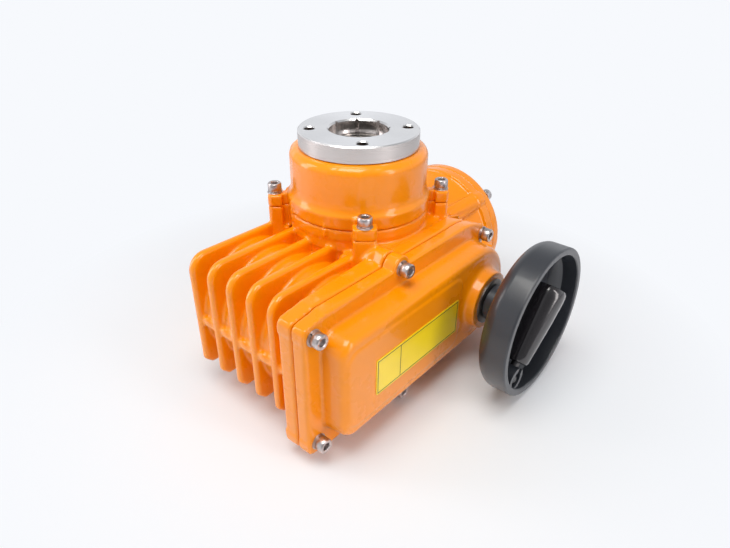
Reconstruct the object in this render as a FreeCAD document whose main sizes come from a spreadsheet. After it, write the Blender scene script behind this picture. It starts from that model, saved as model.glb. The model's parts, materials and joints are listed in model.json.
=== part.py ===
import FreeCAD, Part
import Sketcher
import math
import os

# Explosion-proof quarter-turn electric actuator, millimetres.
# The origin is the centre of the valve mounting face, on the output axis.
# +Z leaves the mounting face, +X points to the handwheel, +Y to the terminal compartment.

V = FreeCAD.Vector

SIZES = {
    # valve mounting flange, with its star-shaped opening
    "flange_radius": 43.4,
    "flange_proud": 12.2,
    "flange_chamfer": 0.8,
    "spigot_radius": 34.0,
    "spigot_depth": 6.0,
    "bolt_circle": 70.0,
    "mount_hole_radius": 4.0,
    "star_radius": 21.2,
    "star_square": 32.2,
    "star_depth": 9.0,
    "lip_radius": 17.6,
    "lip_thickness": 2.4,
    # output housing, the turned upper casting
    "top_radius": 50.0,
    "top_rounding": 6.0,
    "top_height": 43.8,
    "skirt_radius": 54.0,
    "skirt_height": 10.0,
    "skirt_flare": 8.0,
    # lugs that clamp the two castings
    "lug_circle_radius": 62.0,
    "lug_radius": 6.3,
    "lug_root_radius": 7.6,
    "lug_height": 8.5,
    "lug_web": 7.0,
    "lug_depth": 20.0,
    # main housing; its worm, motor and compartment share one level below the seam
    "centre_drop": 63.0,
    "barrel_radius": 50.0,
    "barrel_wall": 9.0,
    "barrel_drop": 47.0,
    "floor_thickness": 9.0,
    # worm stage: the worm axis lies across the output axis
    "worm_y": 34.0,
    "tunnel_radius": 20.0,
    "tunnel_bore": 13.6,
    "tunnel_end_x": -47.0,
    # motor
    "motor_y": -75.0,
    "core_radius": 44.5,
    "core_back_x": -47.0,
    "core_wall": 11.0,
    "motor_bore": 25.0,
    "rotor_radius": 15.0,
    "air_gap": 0.5,
    "motor_length": 66.0,
    # cooling fins
    "fin_pitch": 19.9,
    "fin_thickness": 7.6,
    "fin_reach": 49.0,
    "fin_rise": 50.0,
    "fin_fall": 41.0,
    "fin_corner": 13.0,
    "fin_foot": 5.0,
    "fin_nose": 2.4,
    "shelf_thickness": 4.0,
    "nub_radius": 3.2,
    # flanged joint of the gear cover
    "joint_x": 63.6,
    "joint_thickness": 11.6,
    "gasket_thickness": 0.8,
    "cover_flange": 9.6,
    "joint_margin": 12.0,
    "joint_rounding": 2.0,
    "edge_reach": 56.0,
    "edge_chamfer": 18.0,
    "edge_drop": 9.0,
    "round_radius": 52.0,
    "lobe_radius": 8.5,
    # gear cover dome
    "dome_height": 17.0,
    "dome_radius": 40.0,
    "dome_corner": 14.0,
    "dome_draft": 7.0,
    "dome_fillet": 5.0,
    "panel_proud": 0.9,
    "cover_wall": 4.5,
    "boss_radius": 22.5,
    "boss_height": 10.0,
    "boss_bore": 13.0,
    # gear train in the cover
    "gear_module": 2.0,
    "gear_width": 11.0,
    "gear_backlash": 0.60,
    "gear_clearance": 9.0,
    "chamber_depth": 6.6,
    "pinion_teeth": 12,
    "idler_teeth": 18,
    "final_teeth": 25,
    "idler_pin_radius": 4.0,
    # worm and worm wheel
    "worm_pitch_radius": 10.0,
    "wheel_teeth": 24,
    "wheel_width": 12.0,
    "worm_backlash": 0.45,
    "worm_length": 38.0,
    "shaft_radius": 8.0,
    "bearing_radius": 11.0,
    "bearing_width": 8.0,
    "rotor_shaft_radius": 5.0,
    "running": 0.05,
    "seat": 0.02,
    # output sleeve
    "sleeve_radius": 20.0,
    "bush_wall": 4.0,
    "socket_square": 22.0,
    "socket_depth": 38.6,
    "stem_radius": 13.0,
    "tail_radius": 7.0,
    # handwheel
    "rim_radius": 56.5,
    "rim_depth": 22.6,
    "rim_wall": 5.6,
    "web_thickness": 5.0,
    "hub_radius": 13.5,
    "hub_length": 20.2,
    "retainer_thickness": 1.6,
    "hub_gap": 0.6,
    # folding handle
    "handle_angle": 50.0,
    "pivot_reach": 45.0,
    "pivot_depth": 7.6,
    "pivot_boss_radius": 9.6,
    "pivot_hole_radius": 6.0,
    "boss_recess": 2.0,
    "pin_radius": 1.6,
    "spindle_radius": 3.0,
    "grip_start": 12.0,
    "grip_length": 59.0,
    "grip_small": 7.4,
    "grip_large": 10.0,
    # terminal compartment
    "bay_length": 60.0,
    "disc_radius": 56.0,
    "disc_thickness": 9.0,
    "bay_radius": 46.0,
    "bay_bore": 40.0,
    "disc_bolt_radius": 50.5,
    "lid_thickness": 9.0,
    "lid_dome_radius": 41.0,
    "lid_dome": 10.0,
    # indicator window, opposite the mounting face
    "window_ring_radius": 43.0,
    "window_radius": 30.0,
    "window_ring_height": 12.0,
    "glass_thickness": 3.2,
    "dial_radius": 24.5,
    # fasteners
    "screw_radius": 3.0,
    "screw_head_radius": 5.0,
    "screw_head_height": 6.0,
    "screw_socket": 5.0,
    "washer_radius": 5.6,
    "washer_thickness": 1.5,
    "hole_clearance": 0.3,
    # cable entries and earth stud
    "entry_radius": 10.0,
    "entry_boss_radius": 13.5,
    "entry_inset": 11.0,
    "entry_pitch": 26.0,
    "plug_radius": 12.4,
}

doc = FreeCAD.newDocument("electric_actuator")
sheet = doc.addObject("Spreadsheet::Sheet", "dims")


class Size:
    """A length that keeps its number together with the sheet formula that it comes from."""

    def __init__(self, number, formula):
        self.number = float(number)
        self.formula = formula

    def join(self, other, sign, number):
        return Size(number, "(" + self.formula + sign + as_size(other).formula + ")")

    def __add__(self, other):
        return self.join(other, " + ", self.number + as_size(other).number)

    def __sub__(self, other):
        return self.join(other, " - ", self.number - as_size(other).number)

    def __mul__(self, other):
        return self.join(other, " * ", self.number * as_size(other).number)

    def __truediv__(self, other):
        return self.join(other, " / ", self.number / as_size(other).number)

    def __radd__(self, other):
        return as_size(other) + self

    def __rsub__(self, other):
        return as_size(other) - self

    def __rmul__(self, other):
        return as_size(other) * self

    def __neg__(self):
        return as_size(0) - self


def as_size(thing):
    if isinstance(thing, Size):
        return thing
    return Size(thing, "({:.6f})".format(thing))


def fill_sheet():
    """Writes each size into the sheet under its own alias, and returns them by name."""
    found = {}
    for row, (alias, number) in enumerate(SIZES.items(), start=1):
        sheet.set("A{}".format(row), alias)
        sheet.set("B{}".format(row), str(number))
        sheet.setAlias("B{}".format(row), alias)
        found[alias] = Size(number, "dims." + alias)
    doc.recompute()
    return found


D = fill_sheet()


def stack_up(d):
    """Places that follow from the sizes: levels along Z, then stations along X and along Y."""
    d["sleeve_top_z"] = -(d["star_depth"] + d["lip_thickness"])
    d["socket_bottom_z"] = d["sleeve_top_z"] - d["socket_depth"]
    d["seam_z"] = -(d["flange_proud"] + d["top_height"])
    d["skirt_z"] = d["seam_z"] + d["skirt_height"]
    d["shoulder_z"] = d["skirt_z"] + d["skirt_flare"]
    d["lug_seat_z"] = d["seam_z"] + d["lug_height"]
    d["lug_end_z"] = d["seam_z"] - d["lug_depth"]
    d["centre_z"] = d["seam_z"] - d["centre_drop"]
    d["barrel_bottom_z"] = d["centre_z"] - d["barrel_drop"]
    d["floor_top_z"] = d["barrel_bottom_z"] + d["floor_thickness"]
    d["window_ring_z"] = d["barrel_bottom_z"] - d["window_ring_height"]
    d["fin_top_z"] = d["centre_z"] + d["fin_rise"]
    d["fin_bottom_z"] = d["centre_z"] - d["fin_fall"]
    d["shelf_z"] = d["centre_z"] - 1.5

    d["joint_back_x"] = d["joint_x"] - d["joint_thickness"]
    d["chamber_x"] = d["joint_x"] - d["chamber_depth"]
    d["gear_x"] = d["chamber_x"] + d["gear_clearance"]
    d["joint_face_x"] = d["joint_x"] + d["gasket_thickness"]
    d["cover_flange_x"] = d["joint_face_x"] + d["cover_flange"]
    d["dome_x"] = d["cover_flange_x"] + d["dome_height"]
    d["boss_x"] = d["dome_x"] + d["boss_height"]
    d["hub_x"] = d["boss_x"] + d["retainer_thickness"] + d["hub_gap"]
    d["rim_back_x"] = d["hub_x"] + d["hub_length"]
    d["rim_front_x"] = d["rim_back_x"] + d["rim_depth"]
    d["dish_x"] = d["rim_back_x"] + d["web_thickness"]
    d["pivot_x"] = d["rim_front_x"] - d["pivot_depth"]
    d["pivot_boss_x"] = d["rim_front_x"] - d["boss_recess"]
    d["motor_back_x"] = d["core_back_x"] + d["core_wall"]

    d["fin_edge_y"] = d["motor_y"] - d["fin_reach"]
    d["edge_y"] = d["motor_y"] - d["edge_reach"]
    d["dome_y"] = d["edge_y"] + d["joint_margin"]
    d["bay_floor_y"] = d["worm_y"] + d["tunnel_radius"] + 3
    d["disc_y"] = d["bay_floor_y"] + d["bay_length"]
    d["entry_first_y"] = d["bay_floor_y"] + d["entry_inset"]


stack_up(D)

# Ways that a piece's own Z axis can point, and the turn that lays a Y-Z outline square to X
TURNS = {
    "+Z": FreeCAD.Rotation(V(0, 0, 1), 0),
    "-Z": FreeCAD.Rotation(V(1, 0, 0), 180),
    "+X": FreeCAD.Rotation(V(0, 1, 0), 90),
    "-X": FreeCAD.Rotation(V(0, 1, 0), -90),
    "+Y": FreeCAD.Rotation(V(1, 0, 0), -90),
    "-Y": FreeCAD.Rotation(V(1, 0, 0), 90),
    "yz": FreeCAD.Rotation(V(1, 1, 1), 120),
}

sub_parts = []


def bind(thing, prop, size):
    thing.setExpression(prop, as_size(size).formula)


def place(thing, where, turn="+Z"):
    """Puts a piece at (x, y, z), turned to one of TURNS or by a rotation."""
    rotation = TURNS[turn] if isinstance(turn, str) else turn
    sizes = [as_size(w) for w in where]
    thing.Placement = FreeCAD.Placement(V(*[s.number for s in sizes]), rotation)
    for letter, size in zip("xyz", sizes):
        if "dims." in size.formula:
            thing.setExpression("Placement.Base." + letter, size.formula)
    return thing


def cylinder(name, radius, height, where, turn="+Z"):
    made = doc.addObject("Part::Cylinder", name)
    bind(made, "Radius", radius)
    bind(made, "Height", height)
    return place(made, where, turn)


def cone(name, radius, end_radius, height, where, turn="+Z"):
    made = doc.addObject("Part::Cone", name)
    bind(made, "Radius1", radius)
    bind(made, "Radius2", end_radius)
    bind(made, "Height", height)
    return place(made, where, turn)


def block(name, low, high):
    """A box between two corners."""
    made = doc.addObject("Part::Box", name)
    for prop, a, b in zip(("Length", "Width", "Height"), low, high):
        bind(made, prop, as_size(b) - as_size(a))
    return place(made, low)


def bar(name, length, width, height, where, turn):
    """A box that starts at a point and runs along its own turned axes, centred on its width."""
    made = doc.addObject("Part::Box", name)
    bind(made, "Length", length)
    bind(made, "Width", width)
    bind(made, "Height", height)
    half = as_size(width).number / 2
    offset = turn.multVec(V(0, -half, 0))
    return place(made, [as_size(w) + o for w, o in zip(where, offset)], turn)


def prism(name, corner_radius, sides, height, where, turn="+Z"):
    made = doc.addObject("Part::Prism", name)
    made.Polygon = sides
    bind(made, "Circumradius", corner_radius)
    bind(made, "Height", height)
    return place(made, where, turn)


def fuse(name, pieces):
    made = doc.addObject("Part::MultiFuse", name)
    made.Shapes = pieces
    made.Refine = True
    return made


def cut(name, base, tools):
    made = doc.addObject("Part::Cut", name)
    made.Base = base
    made.Tool = tools[0] if len(tools) == 1 else fuse(name + "_tools", tools)
    made.Refine = True
    return made


def sub_part(label, thing):
    """Marks a finished piece, whose label names its file."""
    thing.Label = label
    sub_parts.append(thing)
    return thing


def plane_of(body, role):
    return [f for f in body.Origin.OriginFeatures if f.Role == role][0]


def is_concave(entry):
    """An arc with a negative radius bends into the outline."""
    return len(entry) == 3 and as_size(entry[2]).number < 0


def arc_between(start, end, radius):
    """The arc that leaves start and reaches end: counter-clockwise, or clockwise for a negative radius."""
    if radius < 0:
        start, end = end, start
    chord = end - start
    rise = math.sqrt(max(radius ** 2 - (chord.Length / 2) ** 2, 0))
    centre = (start + end) * 0.5 + V(-chord.y, chord.x, 0).normalize() * rise
    begin = math.atan2(start.y - centre.y, start.x - centre.x)
    finish = math.atan2(end.y - centre.y, end.x - centre.x)
    return Part.ArcOfCircle(Part.Circle(centre, V(0, 0, 1), abs(radius)), begin, finish)


def draw(body, role, outline):
    """Sketches a closed outline, counter-clockwise, on one of the body's own planes.

    Each entry is (x, y) for a straight edge that ends there, or (x, y, radius) for an arc that does,
    with a negative radius where the arc is hollow.
    """
    sketch = body.newObject("Sketcher::SketchObject", body.Name + "_outline")
    sketch.AttachmentSupport = [(plane_of(body, role), "")]
    sketch.MapMode = "FlatFace"
    ends = [(as_size(p[0]), as_size(p[1])) for p in outline]
    last = len(outline) - 1
    for number, entry in enumerate(outline):
        start = V(ends[number - 1][0].number, ends[number - 1][1].number, 0)
        end = V(ends[number][0].number, ends[number][1].number, 0)
        if len(entry) == 2:
            sketch.addGeometry(Part.LineSegment(start, end), False)
        else:
            sketch.addGeometry(arc_between(start, end, as_size(entry[2]).number), False)
    for number, entry in enumerate(outline):
        following = 0 if number == last else number + 1
        head = 1 if is_concave(entry) else 2
        tail = 2 if is_concave(outline[following]) else 1
        sketch.addConstraint(Sketcher.Constraint("Coincident", number, head, following, tail))
        for kind, size in zip(("DistanceX", "DistanceY"), ends[number]):
            rule = sketch.addConstraint(Sketcher.Constraint(kind, -1, 1, number, head, size.number))
            if "dims." in size.formula:
                sketch.setExpression("Constraints[{}]".format(rule), size.formula)
        if len(entry) == 3:
            radius = -as_size(entry[2]) if is_concave(entry) else as_size(entry[2])
            rule = sketch.addConstraint(Sketcher.Constraint("Radius", number, radius.number))
            if "dims." in radius.formula:
                sketch.setExpression("Constraints[{}]".format(rule), radius.formula)
    return sketch


def padded(name, outline, height, where, turn="yz", draft=0):
    """An outline padded along its normal; with turn "yz" its axes are the object's Y and Z."""
    body = doc.addObject("PartDesign::Body", name)
    sketch = draw(body, "XY_Plane", outline)
    pad = body.newObject("PartDesign::Pad", name + "_pad")
    pad.Profile = sketch
    bind(pad, "Length", height)
    if draft:
        bind(pad, "TaperAngle", -as_size(draft))
    return place(body, where, turn)


def turned(name, profile, where, turn="+Z"):
    """A profile of (radius, distance) points revolved about the piece's own axis."""
    body = doc.addObject("PartDesign::Body", name)
    sketch = draw(body, "XZ_Plane", profile)
    spin = body.newObject("PartDesign::Revolution", name + "_turning")
    spin.Profile = sketch
    spin.ReferenceAxis = (sketch, ["V_Axis"])
    spin.Angle = 360
    return place(body, where, turn)


def soften(name, base, radius, wanted):
    """Rounds the edges of a finished piece whose middle point the wanted test accepts."""
    doc.recompute()
    made = doc.addObject("Part::Fillet", name)
    made.Base = base
    edges = []
    for number, edge in enumerate(base.Shape.Edges, start=1):
        middle = edge.valueAt((edge.FirstParameter + edge.LastParameter) / 2)
        if wanted(middle, edge):
            edges.append((number, radius.number, radius.number))
    made.Edges = edges
    return made




CENTRE = D["centre_z"]
WORM_Y = D["worm_y"]
MOTOR_Y = D["motor_y"]
GEAR_RADII = [D["gear_module"] * D[t] / 2 for t in ("pinion_teeth", "idler_teeth", "final_teeth")]


def on_circle(radius, degrees):
    """The two coordinates of a point on a circle, as shares of its radius."""
    turn = math.radians(degrees)
    return as_size(radius) * math.cos(turn), as_size(radius) * math.sin(turn)


DIAGONALS = (45, 135, 225, 315)
LUGS = [on_circle(D["lug_circle_radius"], a) for a in DIAGONALS]
JOINT_FACE_X = D["joint_face_x"]
EDGE_TOP = CENTRE + D["round_radius"]
EDGE_LOW = CENTRE - D["round_radius"]
BOLT_INSET = 8
COVER_BOLTS = [
    (D["edge_y"] + BOLT_INSET, CENTRE + 41),
    (D["edge_y"] + BOLT_INSET, CENTRE - 41),
    (as_size(-42), EDGE_TOP - 1),
    (as_size(-42), EDGE_LOW + 1),
    (WORM_Y + 26.5, CENTRE + 37.5),
    (WORM_Y + 26.5, CENTRE - 37.5),
]


def joint_outline(inset=0):
    """The flanged joint's outline in Y and Z: straight on the motor side, round at the handwheel."""
    left = D["edge_y"] + inset
    top = EDGE_TOP - inset
    low = EDGE_LOW + inset
    radius = D["round_radius"] - inset
    slope = D["edge_chamfer"]
    drop = D["edge_drop"]
    return [
        (left + slope, low),
        (WORM_Y, low),
        (WORM_Y + radius, CENTRE, radius),
        (WORM_Y, top, radius),
        (left + slope, top),
        (left, top - drop),
        (left, low + drop),
    ]


def dome_outline(inset=0):
    """The cover dome's outline in Y and Z, rounded at the motor end."""
    left = D["dome_y"] + inset
    radius = D["dome_radius"] - inset
    corner = D["dome_corner"] - inset
    top = CENTRE + radius
    low = CENTRE - radius
    return [
        (left, low + corner),
        (left + corner, low, corner),
        (WORM_Y, low),
        (WORM_Y + radius, CENTRE, radius),
        (WORM_Y, top, radius),
        (left + corner, top),
        (left, top - corner, corner),
    ]


def rounded_box(left, low, right, top, corner):
    """A rounded rectangle, counter-clockwise from the lower left."""
    return [
        (left, low + corner),
        (left + corner, low, corner),
        (right - corner, low),
        (right, low + corner, corner),
        (right, top - corner),
        (right - corner, top, corner),
        (left + corner, top),
        (left, top - corner, corner),
    ]


def star_tools(name, square, low, height, radius=None):
    """Two crossed squares, cut to a circle where a radius is given, for the eight-point opening."""
    made = []
    for number, degrees in enumerate((0, 45)):
        tool = prism("{}_{}".format(name, number), square * math.sqrt(0.5), 4, height, (0, 0, low))
        tool.Placement.Rotation = FreeCAD.Rotation(V(0, 0, 1), degrees)
        made.append(tool)
    if radius is not None:
        made.append(cylinder(name + "_round", radius, height, (0, 0, low)))
    return made


def mounting_flange():
    """A turned steel ring with a star opening, four tapped holes and a spigot in the casting."""
    r = D["flange_radius"]
    c = D["flange_chamfer"]
    top_z = -D["flange_proud"]
    foot = top_z - D["spigot_depth"]
    ring = turned("flange_ring", [
        (D["spigot_radius"], foot), (D["spigot_radius"], top_z), (r - c, top_z), (r, top_z + c),
        (r, -c), (r - c, 0), (D["lip_radius"], 0), (D["lip_radius"], foot)], (0, 0, 0))
    tools = star_tools("flange_star", D["star_square"], -D["star_depth"], 20, D["star_radius"])
    tools.append(cylinder("flange_relief", D["sleeve_radius"] + 1.2, 30, (0, 0, D["sleeve_top_z"] - 29.6)))
    tools.append(cone("flange_mouth", D["star_radius"], D["star_radius"] + 3, 3, (0, 0, -1.2)))
    for number, degrees in enumerate(DIAGONALS):
        x, y = on_circle(D["bolt_circle"] / 2, degrees)
        tools.append(cylinder("mount_hole_{}".format(number), D["mount_hole_radius"], 40, (x, y, -20)))
    sub_part("mounting_flange", cut("flange_cut", ring, tools))


def lug_column(name, low, top, radius, web_from):
    """Four columns for the clamping screws, each tied to the barrel by a web."""
    made = []
    for number, degrees in enumerate(DIAGONALS):
        x, y = LUGS[number]
        made.append(cylinder("{}_{}".format(name, number), radius, top - low, (x, y, low)))
        turn = FreeCAD.Rotation(V(0, 0, 1), degrees)
        start = on_circle(web_from, degrees)
        web = bar("{}_web_{}".format(name, number), D["lug_circle_radius"] - web_from,
                  D["lug_web"], top - low, (start[0], start[1], low), turn)
        made.append(web)
    return made


def lug_holes(name, radius, low, top):
    return [cylinder("{}_{}".format(name, n), radius, top - low, (x, y, low))
            for n, (x, y) in enumerate(LUGS)]


def output_housing():
    """The upper casting: a rounded cup that holds the flange and the upper bush."""
    r = D["top_radius"]
    top_z = -D["flange_proud"]
    rounding = D["top_rounding"]
    cup = turned("output_cup", [
        (D["sleeve_radius"] + D["bush_wall"], D["seam_z"] + 14),
        (D["barrel_radius"] - D["barrel_wall"], D["seam_z"]),
        (D["skirt_radius"], D["seam_z"]), (D["skirt_radius"], D["skirt_z"]),
        (r, D["shoulder_z"], -D["skirt_flare"] * 1.25), (r, top_z - rounding), (r - rounding, top_z, rounding),
        (D["sleeve_radius"] + D["bush_wall"], top_z)], (0, 0, 0))
    body = fuse("output_casting", [cup] + lug_column(
        "upper_lug", D["seam_z"], D["lug_seat_z"], D["lug_radius"], D["skirt_radius"] - 6))
    tools = [cylinder("spigot_bore", D["spigot_radius"], 20, (0, 0, top_z - D["spigot_depth"]))]
    tools += lug_holes("upper_hole", D["screw_radius"] + D["hole_clearance"], D["seam_z"] - 1, -40)
    for number, degrees in enumerate(DIAGONALS):
        x, y = on_circle(D["bolt_circle"] / 2, degrees)
        tools.append(cylinder("stud_room_{}".format(number), D["mount_hole_radius"], 12, (x, y, top_z - 10)))
    sub_part("output_housing", cut("output_cut", body, tools))


def upper_bush():
    """A flanged bronze bush that guides the output sleeve in the upper casting."""
    top_z = -D["flange_proud"] - D["spigot_depth"]
    bore = D["sleeve_radius"] + D["running"]
    outer = D["sleeve_radius"] + D["bush_wall"]
    sub_part("upper_bush", turned("upper_bush_ring", [
        (bore, D["seam_z"] + 15), (outer, D["seam_z"] + 15), (outer, top_z), (bore, top_z)], (0, 0, 0)))


def fin_plates():
    """Five cooling fins across the motor barrel, as one padded outline repeated along X."""
    body = doc.addObject("PartDesign::Body", "fins")
    left = D["fin_edge_y"]
    low = D["fin_bottom_z"]
    top = D["fin_top_z"]
    corner = D["fin_corner"]
    foot = D["fin_foot"]
    inner = MOTOR_Y + D["core_radius"]
    outline = [(left, low + foot), (left + foot, low), (inner, low), (inner, top), (left + corner, top),
               (left, top - corner, corner)]
    sketch = draw(body, "XY_Plane", outline)
    pad = body.newObject("PartDesign::Pad", "fin_pad")
    pad.Profile = sketch
    bind(pad, "Length", D["fin_thickness"])
    doc.recompute()
    edges = []
    for number, edge in enumerate(pad.Shape.Edges, start=1):
        middle = edge.valueAt((edge.FirstParameter + edge.LastParameter) / 2)
        flat = abs(edge.BoundBox.ZLength) < 0.01
        if flat and middle.x < (inner - 1).number:
            edges.append("Edge{}".format(number))
    nose = body.newObject("PartDesign::Fillet", "fin_nose")
    nose.Base = (pad, edges)
    bind(nose, "Radius", D["fin_nose"])
    row = body.newObject("PartDesign::LinearPattern", "fin_row")
    row.Originals = [pad, nose]
    row.Direction = ([f for f in body.Origin.OriginFeatures if f.Role == "Z_Axis"][0], [""])
    bind(row, "Length", D["fin_pitch"] * 4)
    row.Occurrences = 5
    body.Tip = row
    return place(body, (D["core_back_x"], 0, 0), "yz")


def ribs_between_fins():
    """The level web that ties the fins together, with a round nub beside each fin."""
    last = D["core_back_x"] + D["fin_pitch"] * 4
    shelf = block("fin_shelf", (D["core_back_x"] + 2, D["fin_edge_y"] + 2, D["shelf_z"]),
                  (last + 4, MOTOR_Y, D["shelf_z"] + D["shelf_thickness"]))
    made = [shelf]
    for number in range(4):
        x = D["core_back_x"] + D["fin_thickness"] + D["fin_pitch"] * number + 4.2
        made.append(cylinder("nub_{}".format(number), D["nub_radius"], 24,
                             (x, D["fin_edge_y"] + 1, D["shelf_z"] + 1.5), "+Y"))
    return made


def disc_gussets():
    """Tapered ribs from the disc flange's bolts back to the compartment."""
    made = []
    for number, degrees in enumerate(DIAGONALS):
        x, z = on_circle(D["disc_bolt_radius"], degrees)
        start = D["disc_y"] - D["disc_thickness"] - 34
        made.append(cone("gusset_{}".format(number), 2.5, 8.4, 34, (x * 0.98, start, CENTRE + z * 0.98), "+Y"))
        made.append(cylinder("disc_pad_{}".format(number), 8.4, D["disc_thickness"] + 0.5,
                             (x, start + 34 - 0.5, CENTRE + z), "+Y"))
    return made


def main_housing():
    """The lower casting: worm-wheel barrel, motor barrel, gear joint and terminal compartment."""
    barrel_height = D["seam_z"] - D["barrel_bottom_z"]
    solids = [
        cylinder("barrel", D["barrel_radius"], barrel_height, (0, 0, D["barrel_bottom_z"])),
        cylinder("barrel_rim", D["skirt_radius"], 6, (0, 0, D["seam_z"] - 6)),
        cylinder("motor_core", D["core_radius"], D["joint_back_x"] - D["core_back_x"],
                 (D["core_back_x"], MOTOR_Y, CENTRE), "+X"),
        cylinder("worm_tunnel", D["tunnel_radius"], D["joint_back_x"] - D["tunnel_end_x"],
                 (D["tunnel_end_x"], WORM_Y, CENTRE), "+X"),
        cylinder("terminal_bay", D["bay_radius"], D["disc_y"] - 34, (0, 34, CENTRE), "+Y"),
        cylinder("disc_flange", D["disc_radius"], D["disc_thickness"],
                 (0, D["disc_y"] - D["disc_thickness"], CENTRE), "+Y"),
        fin_plates(),
    ]
    solids += ribs_between_fins()
    solids += disc_gussets()
    solids += lug_column("lower_lug", D["lug_end_z"], D["seam_z"], D["lug_root_radius"], D["barrel_radius"] - 4)
    joint_depth = D["joint_x"] - D["joint_back_x"]
    flange = padded("joint_flange", joint_outline(), joint_depth, (D["joint_back_x"], 0, 0))
    doc.recompute()
    solids.append(soften("joint_flange_rim", flange, D["joint_rounding"],
                         lambda middle, edge: abs(middle.x - D["joint_back_x"].number) < 0.01))
    saddle = [
        (-44, EDGE_LOW + 7), (WORM_Y, EDGE_LOW + 7),
        (WORM_Y + D["round_radius"] - 7, CENTRE, D["round_radius"] - 7),
        (WORM_Y, EDGE_TOP - 7, D["round_radius"] - 7), (-44, EDGE_TOP - 7)]
    solids.append(padded("saddle", saddle, D["joint_back_x"] - 18, (18, 0, 0)))
    for number, (y, z) in enumerate(COVER_BOLTS):
        solids.append(cylinder("joint_boss_{}".format(number), D["lobe_radius"], joint_depth,
                               (D["joint_back_x"], y, z), "+X"))
    for number in range(2):
        y = D["entry_first_y"] + D["entry_pitch"] * number
        solids.append(cylinder("entry_boss_{}".format(number), D["entry_boss_radius"], 40,
                               (-(D["bay_radius"] + 6), y, CENTRE), "+X"))
    casting = fuse("main_casting", solids)

    chamber = D["barrel_radius"] - D["barrel_wall"]
    shaft = D["shaft_radius"]
    far_x = D["chamber_x"] - 4
    tools = [
        cylinder("wheel_chamber", chamber, D["seam_z"] - D["floor_top_z"] + 1, (0, 0, D["floor_top_z"])),
        cylinder("motor_hole", D["motor_bore"], far_x + 8 - D["motor_back_x"],
                 (D["motor_back_x"], MOTOR_Y, CENTRE), "+X"),
        cylinder("motor_bearing_seat", D["bearing_radius"] + D["seat"], 8,
                 (D["motor_back_x"] - 7, MOTOR_Y, CENTRE), "+X"),
        cylinder("worm_hole", D["tunnel_bore"], far_x - worm_back(), (worm_back() + 8, WORM_Y, CENTRE), "+X"),
        cylinder("worm_bearing_seat", D["bearing_radius"] + D["seat"], 10, (worm_back(), WORM_Y, CENTRE), "+X"),
        cylinder("bay_hole", D["bay_bore"], 90, (0, D["bay_floor_y"], CENTRE), "+Y"),
        cylinder("wire_hole", 5, 40, (0, 30, CENTRE + 31), "+Y"),
        cylinder("tail_hole", D["tail_radius"] + 4, 30, (0, 0, D["barrel_bottom_z"] - 5)),
        padded("gear_chamber", dome_outline(D["cover_wall"]), 30, (D["chamber_x"], 0, 0)),
    ]
    for number, (y, z) in enumerate(COVER_BOLTS):
        tools.append(cylinder("joint_hole_{}".format(number), D["screw_radius"] + D["seat"], 40,
                              (D["joint_back_x"] - 4, y, z), "+X"))
    tools += lug_holes("lower_hole", D["screw_radius"] + D["seat"], D["seam_z"] - 17, D["seam_z"] + 1)
    for number, degrees in enumerate(DIAGONALS):
        x, z = on_circle(D["disc_bolt_radius"], degrees)
        tools.append(cylinder("disc_hole_{}".format(number), D["screw_radius"] + D["seat"], 20,
                              (x, D["disc_y"] - 14, CENTRE + z), "+Y"))
        x, y = on_circle(D["window_ring_radius"] - 6, degrees)
        tools.append(cylinder("window_hole_{}".format(number), 2 + D["seat"], 8,
                              (x, y, D["barrel_bottom_z"] - 1)))
    for number in range(2):
        y = D["entry_first_y"] + D["entry_pitch"] * number
        tools.append(cylinder("entry_hole_{}".format(number), D["entry_radius"], 40,
                              (-(D["bay_radius"] + 8), y, CENTRE), "+X"))
    for number, y in enumerate(idler_places()):
        tools.append(cylinder("idler_seat_{}".format(number), D["idler_pin_radius"] + D["seat"], 10,
                              (D["chamber_x"] - 9, y, CENTRE), "+X"))
    sub_part("main_housing", cut("main_cut", casting, tools))


def idler_places():
    """Where the two idler gears turn, between the motor pinion and the worm shaft."""
    pinion, idler, final = GEAR_RADII
    return [MOTOR_Y + pinion + idler, WORM_Y - final - idler]


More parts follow.
